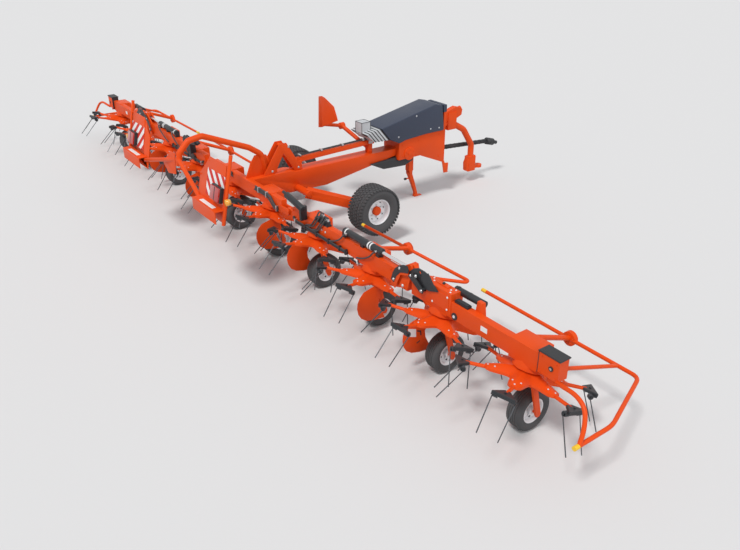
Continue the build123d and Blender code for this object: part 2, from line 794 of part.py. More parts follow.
with BuildPart() as cover:
    add(side_plate(
        [
            (1990, 1250), (2990, 1450), (3120, 1420), (3170, 1035 + CLEARANCE), (2820, 1035 + CLEARANCE),
            (2440, 1010 + CLEARANCE), (2330, 980 + CLEARANCE), (2150, 1060),
        ],
        -205, 205,
    ))
save(cover.part, "cover")

with BuildPart() as cover_rear:
    add(side_plate([(1740, 1200), (1830, 1225), (1984, 1248), (2144, 1060), (1880, 1075)], -190, 190))
    add(block((-60, 1880, 1020), (60, 1950, 1100)))
    add(block((-75, 1740, 1180), (75, 1890, 1345)))
    add(upper_beam.part, mode=Mode.SUBTRACT)
save(cover_rear.part, "cover_rear")

with BuildPart() as belly:
    add(side_plate(
        [(1840, 740), (2090, 620), (2480, 600), (2640, 655), (2640, 715), (2325, 715), (2325, 760)],
        -140, 140,
    ))
    add(main_beam.part, mode=Mode.SUBTRACT)
save(belly.part, "belly_guard")

# Drawbar: bent neck with its towing eye, and the stub above it

with BuildPart() as drawbar:
    add(bent_tube(
        [(0, 3215, 1060), (0, 3480, 1060), (0, 3760, 900), (0, 3950, 620), (0, 3950, 380)],
        48, [150, 180, 120],
    ))
    add(block((-55, 3880, 190), (55, 4020, 430)))
    with BuildSketch(Plane.XY.offset(TOW_EYE[1] - 22)):
        with Locations((0, TOW_EYE[0])):
            Circle(62)
        with Locations((0, 4050)):
            Rectangle(70, 100)
    extrude(amount=44)
    with BuildSketch(Plane.XY.offset(TOW_EYE[1] - 22)):
        with Locations((0, TOW_EYE[0])):
            Circle(EYE_BORE)
    extrude(amount=44, mode=Mode.SUBTRACT)
    add(round_bar((0, 3215, 1150), (0, 3660, 1250), 42))
    add(block((-70, 3200, 990), (70, 3235, 1215)))
    add(block((-58, 3380, 960), (58, 3550, 1230)))
    add(headstock.part, mode=Mode.SUBTRACT)
save(drawbar.part, "drawbar")

# Drive shaft: guard tube held at the headstock, and the yoke that turns

PTO_SIDE = -110
PTO_START = (PTO_SIDE, 3190, 657)
PTO_END = (PTO_SIDE, 4400, 570)
PTO_TIP = (PTO_SIDE, 4630, 505)
pto_way = (Vector(*PTO_TIP) - Vector(*PTO_END)).normalized()
guard_end = Vector(*PTO_END) + pto_way * 150
with BuildPart() as pto_guard:
    add(round_bar(PTO_START, PTO_END, 34))
    add(round_bar(PTO_END, tuple(guard_end), 56))
    add(round_bar(tuple(guard_end - pto_way * 60), tuple(guard_end), 30), mode=Mode.SUBTRACT)
    add(headstock.part, mode=Mode.SUBTRACT)
save(pto_guard.part, "pto_guard")
with BuildPart() as pto_yoke:
    add(round_bar(tuple(guard_end - pto_way * 59.7), PTO_TIP, 29.7))
    add(round_bar(tuple(guard_end), PTO_TIP, 17.5), mode=Mode.SUBTRACT)
save(pto_yoke.part, "pto_yoke")

# Parking stand, hinged under the headstock

with BuildPart() as stand:
    add(side_plate(
        [
            (2648, 412), (2664, 434), (2696, 434), (2712, 412), (2770, 250), (2830, 60), (2850, 12),
            (2920, 10), (2920, 0), (2780, 0), (2780, 10), (2790, 60), (2715, 240), (2650, 388),
        ],
        -STAND_HALF, STAND_HALF,
    ))
    add(round_bar((-60, *STAND_PIVOT), (60, *STAND_PIVOT), STAND_PIN_RADIUS + CLEARANCE), mode=Mode.SUBTRACT)
save(stand.part, "stand_leg")

# Side arm with its plate, on the left only

with BuildPart() as side_arm:
    add(round_bar((-40 - CLEARANCE, 1915, 950), (-600, 1860, 1140), 30))
    add(round_bar((-600, 1825, 1140), (-600, 1895, 1140), 48))
    add(round_bar((-600, 1860, 1140), (-640, 1556, 1200), 26))
    add(front_plate(
        [
            (-760, 1130), (-670, 1150), (-250, 1340), (-270, 1390), (-340, 1520),
            (-570, 1600), (-650, 1610), (-730, 1590),
        ],
        1560, 1552,
    ))
    add(upper_beam.part, mode=Mode.SUBTRACT)
save(side_arm.part, "side_arm")

# Transport wheels on their swing arms

with BuildPart() as swing_arm:
    inner_face = ROAD_WHEEL_FACE - ROAD_WHEEL[1]
    add(round_bar((112, *ARM_PIVOT), (430, *ARM_PIVOT), ARM_PIVOT_RADIUS))
    add(prism((330, *ARM_PIVOT), (inner_face - 60, 1150, 515), 85, 4, 45))
    add(round_bar((inner_face - 110, 1190, 500), (inner_face - 50, 1256, 485), 60))
    add(round_bar((inner_face - 90, *ROAD_AXLE), (ROAD_WHEEL_FACE - 92, *ROAD_AXLE), ROAD_AXLE_RADIUS))
    add(round_bar((100, *ARM_PIVOT), (440, *ARM_PIVOT), ARM_PIN_RADIUS + CLEARANCE), mode=Mode.SUBTRACT)
save(swing_arm.part, "swing_arm_right")
save(mirror(swing_arm.part, about=Plane.YZ), "swing_arm_left")


def road_wheel_parts():
    """Tyre and rim of a transport wheel, about X."""
    radius, width, rim = ROAD_WHEEL
    with BuildPart() as tyre:
        with BuildSketch(Plane.YZ.offset(-width / 2)):
            RegularPolygon(radius, ROAD_WHEEL_SIDES, major_radius=False)
            RegularPolygon(rim, ROAD_WHEEL_SIDES, mode=Mode.SUBTRACT)
        extrude(amount=width)
        shoulder = tyre.faces().filter_by(Axis.X).edges().filter_by(
            lambda edge: Vector(0, edge.center().Y, edge.center().Z).length > (radius + rim) / 2
        )
        chamfer(shoulder, length=48)
    with BuildPart() as wheel_rim:
        with BuildSketch(Plane.YZ.offset(-width / 2 + 12)):
            RegularPolygon(rim, ROAD_WHEEL_SIDES)
            RegularPolygon(rim - 12, ROAD_WHEEL_SIDES, mode=Mode.SUBTRACT)
        extrude(amount=width - 24)
        with BuildSketch(Plane.YZ.offset(20)):
            RegularPolygon(rim - 6, ROAD_WHEEL_SIDES)
        extrude(amount=14)
        with BuildSketch(Plane.YZ.offset(-60)):
            RegularPolygon(62, 12)
        extrude(amount=150)
        with BuildSketch(Plane.YZ.offset(-60)):
            Circle(ROAD_AXLE_RADIUS + CLEARANCE)
        extrude(amount=120, mode=Mode.SUBTRACT)
    return tyre.part, wheel_rim.part


road_tyre, road_rim = road_wheel_parts()
road_place = Location((ROAD_WHEEL_FACE - ROAD_WHEEL[1] / 2, *ROAD_AXLE))
for solid, name in ((road_tyre, "road_tyre"), (road_rim, "road_rim")):
    save(road_place * solid, f"{name}_right")
    save(mirror(road_place * solid, about=Plane.YZ), f"{name}_left")
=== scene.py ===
import json
import math

import bpy
from mathutils import Matrix, Vector


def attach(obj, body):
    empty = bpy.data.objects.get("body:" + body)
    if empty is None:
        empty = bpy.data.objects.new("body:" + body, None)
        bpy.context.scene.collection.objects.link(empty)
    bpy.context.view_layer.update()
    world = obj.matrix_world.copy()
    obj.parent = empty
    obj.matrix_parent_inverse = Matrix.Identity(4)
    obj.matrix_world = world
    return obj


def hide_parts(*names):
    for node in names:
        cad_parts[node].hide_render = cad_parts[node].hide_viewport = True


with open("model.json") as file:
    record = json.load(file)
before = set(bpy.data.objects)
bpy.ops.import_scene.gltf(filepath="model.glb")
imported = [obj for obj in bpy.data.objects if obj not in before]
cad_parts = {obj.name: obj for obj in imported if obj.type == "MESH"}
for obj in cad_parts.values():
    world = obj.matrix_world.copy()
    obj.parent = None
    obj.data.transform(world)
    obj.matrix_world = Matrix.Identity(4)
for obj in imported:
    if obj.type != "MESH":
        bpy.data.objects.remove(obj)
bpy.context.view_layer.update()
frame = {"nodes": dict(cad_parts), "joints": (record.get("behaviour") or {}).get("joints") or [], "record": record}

RECORD_SLOTS = {row["node"]: row["material_slot"] for row in frame["record"]["subparts"]}
JOINTS = {row["name"]: row for row in frame["joints"]}


# Camera, at the photograph's place; MIDDLE is how far the row of rotors lies behind the origin

MIDDLE = 1.775
CAMERA_PLACE = (8.073, -3.975 - MIDDLE, 4.099)
CAMERA_TURN = math.radians(53.78)
CAMERA_DIP = math.radians(27.58)
PHOTO_WIDTH = 740
FOCAL_PIXELS = 717.8
SENSOR = 36.0

camera_data = bpy.data.cameras.new("camera")
camera_data.sensor_width = SENSOR
camera_data.lens = FOCAL_PIXELS / PHOTO_WIDTH * SENSOR
camera = bpy.data.objects.new("camera", camera_data)
camera.location = CAMERA_PLACE
camera.rotation_euler = (math.pi / 2 - CAMERA_DIP, 0, CAMERA_TURN)
bpy.context.collection.objects.link(camera)
bpy.context.scene.camera = camera


# Floor and light

FLOOR_TONE = 0.7
FLOOR_ROUGHNESS = 0.9
FLOOR_HALF = 150
FLOOR_DROP = 0.002
SKY_COLOUR = (0.95, 0.96, 1, 1)
SKY_STRENGTH = 0.5
SHOWN_TONE = 0.79
SHOWN_RAYS = ("Is Camera Ray", "Is Glossy Ray", "Is Transmission Ray")

bpy.context.scene.view_settings.view_transform = "Standard"


def pale_surface():
    """The floor's plain pale material."""
    material = bpy.data.materials.new("floor")
    material.use_nodes = True
    shader = material.node_tree.nodes["Principled BSDF"]
    shader.inputs["Base Color"].default_value = (FLOOR_TONE, FLOOR_TONE, FLOOR_TONE, 1)
    shader.inputs["Roughness"].default_value = FLOOR_ROUGHNESS
    shader.inputs["Specular IOR Level"].default_value = 0
    return material


def pale_world():
    """A soft sky that lights the scene, shown in a plain pale tone where a camera or glossy ray meets it."""
    pale = bpy.data.worlds.new("world")
    pale.use_nodes = True
    tree = pale.node_tree
    sky = tree.nodes["Background"]
    sky.inputs["Color"].default_value = SKY_COLOUR
    sky.inputs["Strength"].default_value = SKY_STRENGTH
    shown = tree.nodes.new("ShaderNodeBackground")
    shown.inputs["Color"].default_value = (SHOWN_TONE, SHOWN_TONE, SHOWN_TONE, 1)
    rays = tree.nodes.new("ShaderNodeLightPath")
    seen = None
    for ray in SHOWN_RAYS:
        either = tree.nodes.new("ShaderNodeMath")
        either.operation = "MAXIMUM"
        either.inputs[1].default_value = 0
        tree.links.new(rays.outputs[ray], either.inputs[0])
        if seen:
            tree.links.new(seen.outputs["Value"], either.inputs[1])
        seen = either
    choice = tree.nodes.new("ShaderNodeMixShader")
    tree.links.new(seen.outputs["Value"], choice.inputs["Fac"])
    tree.links.new(sky.outputs["Background"], choice.inputs[1])
    tree.links.new(shown.outputs["Background"], choice.inputs[2])
    tree.links.new(choice.outputs["Shader"], tree.nodes["World Output"].inputs["Surface"])
    return pale


def sun(name, elevation, azimuth, strength, spread, colour=(1, 1, 1)):
    """A soft distant lamp; azimuth 0 shines along +Y and 90 along -X."""
    data = bpy.data.lights.new(name, "SUN")
    data.energy = strength
    data.angle = math.radians(spread)
    data.color = colour
    lamp = bpy.data.objects.new(name, data)
    lamp.rotation_euler = (math.radians(90 - elevation), 0, math.radians(azimuth))
    bpy.context.collection.objects.link(lamp)


floor_mesh = bpy.data.meshes.new("floor")
floor_mesh.from_pydata(
    [(-FLOOR_HALF, -FLOOR_HALF, 0), (FLOOR_HALF, -FLOOR_HALF, 0),
     (FLOOR_HALF, FLOOR_HALF, 0), (-FLOOR_HALF, FLOOR_HALF, 0)],
    [], [(0, 1, 2, 3)],
)
floor_mesh.materials.append(pale_surface())
floor = bpy.data.objects.new("floor", floor_mesh)
floor.location.z = -FLOOR_DROP
bpy.context.collection.objects.link(floor)

bpy.context.scene.world = pale_world()
sun("key", elevation=58, azimuth=20, strength=1.85, spread=12, colour=(1, 0.99, 0.97))
sun("side", elevation=35, azimuth=95, strength=0.7, spread=30)


# Materials

COAT_ROUGHNESS = 0.12
CLOUD_DETAIL = 6
GLOSS_FROM = 0.8
GLOSS_TO = 1.25
GRAIN_DETAIL = 2
GRAIN_DEPTH = 0.002


def finish(name, colour, roughness, metallic=0.0, coat=0.0, grain=0.0, grain_size=400.0, shade=0.08,
           spread=3.0, gloss_level=0.5):
    """A procedural finish: slow changes of shade, changes of gloss, and a fine grain in the surface."""
    material = bpy.data.materials.new(name)
    material.use_nodes = True
    tree = material.node_tree
    shader = tree.nodes["Principled BSDF"]
    shader.inputs["Metallic"].default_value = metallic
    shader.inputs["Specular IOR Level"].default_value = gloss_level
    shader.inputs["Coat Weight"].default_value = coat
    shader.inputs["Coat Roughness"].default_value = COAT_ROUGHNESS
    place = tree.nodes.new("ShaderNodeTexCoord")
    clouds = tree.nodes.new("ShaderNodeTexNoise")
    clouds.inputs["Scale"].default_value = spread
    clouds.inputs["Detail"].default_value = CLOUD_DETAIL
    tree.links.new(place.outputs["Object"], clouds.inputs["Vector"])
    shades = tree.nodes.new("ShaderNodeMix")
    shades.data_type = "RGBA"
    shades.inputs["A"].default_value = tuple(c * (1 - shade) for c in colour) + (1,)
    shades.inputs["B"].default_value = tuple(min(1, c * (1 + shade)) for c in colour) + (1,)
    tree.links.new(clouds.outputs["Fac"], shades.inputs["Factor"])
    tree.links.new(shades.outputs["Result"], shader.inputs["Base Color"])
    gloss = tree.nodes.new("ShaderNodeMapRange")
    gloss.inputs["To Min"].default_value = roughness * GLOSS_FROM
    gloss.inputs["To Max"].default_value = min(1, roughness * GLOSS_TO)
    tree.links.new(clouds.outputs["Fac"], gloss.inputs["Value"])
    tree.links.new(gloss.outputs["Result"], shader.inputs["Roughness"])
    if grain:
        fine = tree.nodes.new("ShaderNodeTexNoise")
        fine.inputs["Scale"].default_value = grain_size
        fine.inputs["Detail"].default_value = GRAIN_DETAIL
        bump = tree.nodes.new("ShaderNodeBump")
        bump.inputs["Strength"].default_value = grain
        bump.inputs["Distance"].default_value = GRAIN_DEPTH
        tree.links.new(place.outputs["Object"], fine.inputs["Vector"])
        tree.links.new(fine.outputs["Fac"], bump.inputs["Height"])
        tree.links.new(bump.outputs["Normal"], shader.inputs["Normal"])
    return material


PALETTE = {
    "paint": finish("orange_paint", (0.76, 0.074, 0.006), 0.42, grain=0.08, grain_size=160, gloss_level=0.2),
    "cover": finish("cover_plastic", (0.045, 0.056, 0.088), 0.45, grain=0.25, grain_size=700,
                    gloss_level=0.3),
    "grey": finish("grey_plastic", (0.52, 0.54, 0.56), 0.5, grain=0.2, grain_size=700),
    "plastic": finish("black_plastic", (0.022, 0.023, 0.026), 0.5, grain=0.3, grain_size=600),
    "black": finish("black_paint", (0.024, 0.027, 0.031), 0.42, grain=0.1, grain_size=200, gloss_level=0.4),
    "rubber": finish("rubber", (0.066, 0.066, 0.069), 0.78, grain=0.4, grain_size=300, shade=0.2),
    "silver": finish("silver_paint", (0.76, 0.77, 0.79), 0.36, metallic=0.2, grain=0.1, grain_size=300),
    "zinc": finish("zinc", (0.58, 0.59, 0.6), 0.32, metallic=0.9, grain=0.15, grain_size=500),
    "chrome": finish("chrome", (0.75, 0.76, 0.78), 0.12, metallic=1.0),
    "spring": finish("spring_steel", (0.09, 0.095, 0.105), 0.4, metallic=0.7, grain=0.1),
    "yellow": finish("yellow_plastic", (0.85, 0.55, 0.03), 0.4),
    "red_lens": finish("red_lens", (0.45, 0.015, 0.012), 0.15, coat=0.8),
    "amber_lens": finish("amber_lens", (0.85, 0.36, 0.02), 0.15, coat=0.8),
    "white": finish("white_sheet", (0.82, 0.82, 0.82), 0.4),
    "red": finish("red_sheet", (0.62, 0.028, 0.016), 0.45, gloss_level=0.2),
}

BY_SLOT = {
    "paint": "paint", "rotor_paint": "paint", "tyre": "rubber", "rim": "silver", "cover_plastic": "cover",
    "grey_plastic": "grey", "black_plastic": "plastic", "black_steel": "black", "board": "paint",
    "hose": "rubber", "valve_steel": "zinc", "red_lens": "red_lens", "amber_lens": "amber_lens",
}


# Shapes

MM = 0.001
TINY = 1e-6
SHARPEST_MITRE = 0.3
SMOOTH_ANGLE = 32
WASHER_SPREAD = 1.4
WASHER_HEIGHT = 0.18
HEAD_HEIGHT = 0.75
HEAD_CHAMFER = 0.8
HEAD_SIDES = 6
WASHER_STEPS = 16
BOLT_SINK = 0.001


def at(x, y, z):
    """A place in millimetres from the middle of the row of rotors, in the scene's metres."""
    return Vector((x * MM, y * MM - MIDDLE, z * MM))


def facing(point, way, along=(0, 0, 1)):
    """A placing matrix at a point: its z along one direction and its x as near as may be to another."""
    z = Vector(way).normalized()
    x = Vector(along) - z * Vector(along).dot(z)
    x = z.orthogonal() if x.length < TINY else x
    x.normalize()
    y = z.cross(x)
    rows = [(x[k], y[k], z[k], point[k]) for k in range(3)]
    return Matrix((*rows, (0, 0, 0, 1)))


def turns(count, start=0.0):
    """Angles of one turn in even steps."""
    return [start + math.tau * step / count for step in range(count)]


def inset(outline, depth):
    """An anticlockwise outline drawn in by a depth at every corner."""
    drawn = []
    for k, point in enumerate(outline):
        before = outline[k - 1]
        after = outline[(k + 1) % len(outline)]
        a = Vector((point[0] - before[0], point[1] - before[1])).normalized()
        b = Vector((after[0] - point[0], after[1] - point[1])).normalized()
        left = Vector((-a.y, a.x))
        right = Vector((-b.y, b.x))
        move = (left + right) * depth / max(SHARPEST_MITRE, 1 + left.dot(right))
        drawn.append((point[0] + move.x, point[1] + move.y))
    return drawn


def anticlockwise(outline):
    """The outline, turned round if it runs clockwise."""
    area = sum(a[0] * b[1] - b[0] * a[1] for a, b in zip(outline, outline[1:] + outline[:1]))
    return list(outline) if area > 0 else list(outline)[::-1]


def keep_side(outline, a, b, limit):
    """The part of a convex outline where a * x + b * y is at least the limit."""
    kept = []
    for point, after in zip(outline, outline[1:] + outline[:1]):
        here = a * point[0] + b * point[1] - limit
        there = a * after[0] + b * after[1] - limit
        if here >= 0:
            kept.append(point)
        if here * there < 0:
            share = here / (here - there)
            kept.append(tuple(p + (q - p) * share for p, q in zip(point, after)))
    return kept


def band(outline, a, b, low, high):
    """The part of a convex outline that lies in a slanted band."""
    return keep_side(keep_side(outline, a, b, low), -a, -b, -high)


class Shape:
    """Points and faces of one visual piece, gathered before its mesh is made."""

    def __init__(self):
        self.points = []
        self.faces = []
        self.finishes = []

    def add(self, points, faces, colour):
        """More points, and faces over them that share one finish."""
        base = len(self.points)
        self.points += [tuple(point) for point in points]
        self.faces += [[base + corner for corner in face] for face in faces]
        self.finishes += [colour] * len(faces)

    def skin(self, rings, colour, caps=True, loop=False):
        """A skin over rings of as many points each; loop joins the last ring to the first."""
        count = len(rings[0])
        faces = []
        for row in range(len(rings) if loop else len(rings) - 1):
            here = row * count
            there = (row + 1) % len(rings) * count
            for k in range(count):
                after = (k + 1) % count
                faces.append((here + k, here + after, there + after, there + k))
        if caps and not loop:
            faces.append(tuple(range(count))[::-1])
            faces.append(tuple((len(rings) - 1) * count + k for k in range(count)))
        self.add([point for ring in rings for point in ring], faces, colour)

    def tube(self, path, radius, colour, sides=12):
        """A round tube along a path."""
        path = [Vector(point) for point in path]
        ways = [(b - a).normalized() for a, b in zip(path, path[1:])]
        normal = ways[0].orthogonal().normalized()
        rings = []
        for k, point in enumerate(path):
            way = (ways[max(k - 1, 0)] + ways[min(k, len(ways) - 1)]).normalized()
            normal = (normal - way * normal.dot(way)).normalized()
            side = way.cross(normal)
            rings.append([point + radius * (math.cos(t) * normal + math.sin(t) * side) for t in turns(sides)])
        self.skin(rings, colour)

    def lathe(self, profile, steps, place, colour, loop=False):
        """Rings of a profile of (along, radius), turned about the z of a placing matrix."""
        rings = [
            [place @ Vector((radius * math.cos(t), radius * math.sin(t), along)) for t in turns(steps)]
            for along, radius in profile
        ]
        self.skin(rings, colour, loop=loop)

    def slab(self, outline, place, low, high, colour, edge):
        """A plate with softened edges, its outline in the xy plane of a placing matrix."""
        outline = anticlockwise(outline)
        drawn = inset(outline, edge)
        rings = [(drawn, low), (outline, low + edge), (outline, high - edge), (drawn, high)]
        self.skin([[place @ Vector((x, y, z)) for x, y in ring] for ring, z in rings], colour)

    def bolt(self, point, way, radius=0.009, colour="zinc"):
        """A hexagonal head on its washer."""
        place = facing(point, way)
        washer = radius * WASHER_HEIGHT
        head = radius * HEAD_HEIGHT
        spread = radius * WASHER_SPREAD
        top = radius * HEAD_CHAMFER
        self.lathe([(-BOLT_SINK, spread), (washer, spread)], WASHER_STEPS, place, colour)
        self.lathe([(washer, radius), (head, radius), (head + washer, top)], HEAD_SIDES, place, colour)

    def mirrored(self):
        """The same shape on the other side of the machine."""
        other = Shape()
        other.points = [(-x, y, z) for x, y, z in self.points]
        other.faces = [face[::-1] for face in self.faces]
        other.finishes = list(self.finishes)
        return other

    def mesh(self, name):
        """The mesh of all that was gathered."""
        used = sorted(set(self.finishes))
        mesh = bpy.data.meshes.new(name)
        mesh.from_pydata(self.points, [], self.faces)
        for key in used:
            mesh.materials.append(PALETTE[key])
        mesh.polygons.foreach_set("material_index", [used.index(key) for key in self.finishes])
        mesh.shade_smooth()
        mesh.set_sharp_from_angle(angle=math.radians(SMOOTH_ANGLE))
        return mesh


def put(mesh, name, body, replaced=(), place=None):
    """An object for a mesh, riding on a body and standing for the nodes that it replaces."""
    piece = bpy.data.objects.new(name, mesh)
    if place is not None:
        piece.matrix_world = place
    bpy.context.collection.objects.link(piece)
    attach(piece, body)
    if replaced:
        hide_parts(*replaced)
    return piece


def put_both(shape, name, body):
    """A right piece and its mirror image on the left, on the bodies of their sides."""
    put(shape.mesh(f"{name}_right"), f"{name}_right", f"{body}_right")
    put(shape.mirrored().mesh(f"{name}_left"), f"{name}_left", f"{body}_left")


# Rotors: a pressed star, its arms, and the tine holders with coils and paired tines

ROTORS = 10
PHASE_EVEN = -7
PHASE_ODD = 37
ARM_TURNS = [60 * arm for arm in range(6)]

# The star's edge as (angle from an arm, radius), from an arm to halfway between two
STAR_EDGE = [(0, 0.364), (5, 0.36), (10, 0.335), (13.5, 0.29), (17, 0.25), (23.5, 0.21), (30, 0.195)]
STAR_OUTLINE = [(-turn, radius) for turn, radius in STAR_EDGE[:0:-1]] + STAR_EDGE[:-1]
STAR_TOP = 0.012
STAR_FOOT = -0.012
STAR_LIP = 0.003
STAR_BORE = 0.045
DOME_RADIUS = 0.105
DOME_HEIGHT = 0.075
DOME_CURVE = 0.8
DOME_SHARES = (1, 0.97, 0.85, 0.7, 0.55, 0.4, 0.25, 0.1, 0)
RIDGE_HEIGHT = 0.018
RIDGE_WIDTH = 7.5
RIDGE_REACH = 0.9
COLLAR = [(STAR_FOOT, STAR_BORE), (-0.03, STAR_BORE), (-0.03, 0.072), (-0.027, 0.075), (STAR_FOOT, 0.075)]
COLLAR_STEPS = 24

# An arm's radius at the places where it leaves the star and enters the holder
ARM = [(0.3, 0.017), (0.53, 0.016)]
ARM_STEPS = 14
STAR_BOLT = 0.006
PAIR_RADIUS = 0.29
PAIR_ACROSS = 0.036
PAIR_SHARE = 0.72
PAIR_TURN = 7
TIP_RADIUS = 0.34
TIP_SHARE = 0.92

HOLDER = [(0.497, -0.026), (0.6, -0.1), (0.606, -0.094), (0.606, 0.094), (0.6, 0.1), (0.497, 0.026)]
HOLDER_HALF = 0.014
HOLDER_EDGE = 0.004
HOLDER_BOLT = 0.01
HOLDER_BOLT_PLACE = 0.56
BLOCK =[(0.545, -0.1), (0.6, -0.1), (0.6, 0.1), (0.545, 0.1)]
BLOCK_FOOT = -0.024
BLOCK_TOP = -0.012
BLOCK_EDGE = 0.002

COIL_PLACE = 0.554
COIL_LEVEL = -0.03
COIL_START = 0.053
COIL_LENGTH = 0.044
COIL_RADIUS = 0.02
COIL_TURNS = 4
COIL_STEPS = 14
WIRE_RADIUS = 0.0052
WIRE_SIDES = 6
CORE_RADIUS = 0.011
CORE_SIDES = 10
CORE_ENDS = (0.045, 0.104)
TINE_PLACE = 0.702
TINE_ACROSS = 0.09
TINE_LEVEL = -0.327


def polar(radius, angle, across=0.0, z=0.0):
    """A point at a radius and an angle in degrees, moved across that radius."""
    turn = math.radians(angle)
    return Vector((
        radius * math.cos(turn) - across * math.sin(turn),
        radius * math.sin(turn) + across * math.cos(turn), z,
    ))


def star_height(share, turn):
    """Height of the star's top between the dome (share 0) and its edge (1), raised along each arm."""
    slope = DOME_HEIGHT + (STAR_TOP - DOME_HEIGHT) * share ** DOME_CURVE
    ridge = RIDGE_HEIGHT * math.exp(-((turn / RIDGE_WIDTH) ** 2))
    return slope + ridge * math.sin(math.pi * min(1, share * RIDGE_REACH))


def star_into(shape):
    """The pressed star with its domed middle, open for the hub, and the collar under it."""
    outline = [(angle, turn, radius) for angle in ARM_TURNS for turn, radius in STAR_OUTLINE]
    rings = [
        [polar(STAR_BORE, angle + turn, 0, STAR_FOOT) for angle, turn, _ in outline],
        [polar(radius - STAR_LIP, angle + turn, 0, STAR_FOOT) for angle, turn, radius in outline],
        [polar(radius, angle + turn, 0, STAR_FOOT + STAR_LIP) for angle, turn, radius in outline],
    ]
    for share in DOME_SHARES:
        rings.append([
            polar(DOME_RADIUS + (radius - DOME_RADIUS) * share, angle + turn, 0, star_height(share, turn))
            for angle, turn, radius in outline
        ])
    rings.append([polar(STAR_BORE, angle + turn, 0, DOME_HEIGHT) for angle, turn, _ in outline])
    shape.skin(rings, "paint", loop=True)
    shape.lathe(COLLAR, COLLAR_STEPS, Matrix(), "paint", loop=True)


def arm_into(shape, angle):
    """One arm with the bolts that hold it to the star."""
    shape.lathe(ARM, ARM_STEPS, facing((0, 0, 0), polar(1, angle)), "paint")
    for side in (-1, 1):
        height = star_height(PAIR_SHARE, PAIR_TURN) - BOLT_SINK
        shape.bolt(polar(PAIR_RADIUS, angle, side * PAIR_ACROSS, height), (0, 0, 1), STAR_BOLT, "silver")
    height = star_height(TIP_SHARE, 0) - BOLT_SINK
    shape.bolt(polar(TIP_RADIUS, angle, 0, height), (0, 0, 1), STAR_BOLT, "silver")


def holder_into(shape, angle):
    """The wedge at an arm's end, with the block under it and its bolt."""
    flat = facing((0, 0, 0), (0, 0, 1), polar(1, angle))
    shape.slab(HOLDER, flat, -HOLDER_HALF, HOLDER_HALF, "black", HOLDER_EDGE)
    shape.slab(BLOCK, flat, BLOCK_FOOT, BLOCK_TOP, "black", BLOCK_EDGE)
    spot = polar(HOLDER_BOLT_PLACE, angle, 0, HOLDER_HALF - BOLT_SINK)
    shape.bolt(spot, (0, 0, 1), HOLDER_BOLT, "black")


def tine_into(shape, angle, side):
    """A coil round its core, and the tine that leaves it."""
    coil = []
    count = COIL_TURNS * COIL_STEPS
    for step in range(count + 1):
        turn = math.tau * step / COIL_STEPS - math.pi / 2
        across = side * (COIL_START + COIL_LENGTH * step / count)
        coil.append(polar(COIL_PLACE + COIL_RADIUS * math.cos(turn), angle, across,
                          COIL_LEVEL + COIL_RADIUS * math.sin(turn)))
    end = polar(TINE_PLACE, angle, side * TINE_ACROSS, TINE_LEVEL)
    shape.tube(coil + [coil[-1].lerp(end, 0.5), end], WIRE_RADIUS, "spring", WIRE_SIDES)
    core = [polar(COIL_PLACE, angle, side * across, COIL_LEVEL) for across in CORE_ENDS]
    shape.tube(core, CORE_RADIUS, "black", CORE_SIDES)


def rotor_shape():
    """One rotor about its own axis."""
    shape = Shape()
    star_into(shape)
    for angle in ARM_TURNS:
        arm_into(shape, angle)
        holder_into(shape, angle)
        for side in (-1, 1):
            tine_into(shape, angle, side)
    return shape


rotor_mesh = rotor_shape().mesh("rotor")
for index in range(ROTORS):
    name = f"rotor_{index + 1:02d}"
    joint = JOINTS[f"rotor_spin_{index + 1:02d}"]
    phase = PHASE_EVEN if index % 2 == 0 else PHASE_ODD
    place = facing(joint["pos_m"], joint["axis"], (1, 0, 0)) @ Matrix.Rotation(math.radians(phase), 4, "Z")
    put(rotor_mesh, f"{name}_dressed", name, [name], place)


# Tyres and rims, whose profiles are shares of the half width and heights over the rim's edge

TYRE_SIDE = [(-0.76, 0), (-0.8, 0.1), (-0.93, 0.28), (-1, 0.52), (-0.985, 0.68), (-0.93, 0.8), (-0.9, 0.83),
             (-0.82, 0.93)]
TYRE_SHOULDER = (-0.7, 0.025)
TREAD_FALL = 0.02
GROOVE = ((-0.035, 0), (-0.025, 0.05), (0.025, 0.05), (0.035, 0))
BEAD_WIDTH = 0.6
BEAD_GAP = 0.004

FLANGE = [(-0.8, 0.006), (-0.78, 0.009), (-0.74, 0.002)]
FLANGE_BACK = 0.76
WELL_WIDTH = 0.4
WELL_SHARE = 0.9
RIM_WALL = 0.006
DISC_FACE = [(0.004, 0.72), (0.012, 0.55), (0.01, 0.4)]
DISC_BACK = [(-0.002, 0.4), (0, 0.55), (-0.008, 0.72)]
DISC_THICKNESS = 0.012
DISC_JOIN = 0.008
HOLE_STEPS = 14


def tyre_profile(half, radius, rim, grooves):
    """A tyre's section from bead to bead over the tread, and back through the inside, as (along, radius)."""
    rise = radius - rim
    side = [(half * share, rim + rise * height) for share, height in TYRE_SIDE]
    side.append((half * TYRE_SHOULDER[0], radius - rise * TYRE_SHOULDER[1]))
    tread = []
    for place in grooves:
        for offset, depth in GROOVE:
            tread.append((half * (place + offset), radius - rise * (depth + TREAD_FALL * place * place)))
    outside = side + tread + [(-along, height) for along, height in side[::-1]]
    return outside + [(half * BEAD_WIDTH, rim - BEAD_GAP), (-half * BEAD_WIDTH, rim - BEAD_GAP)]


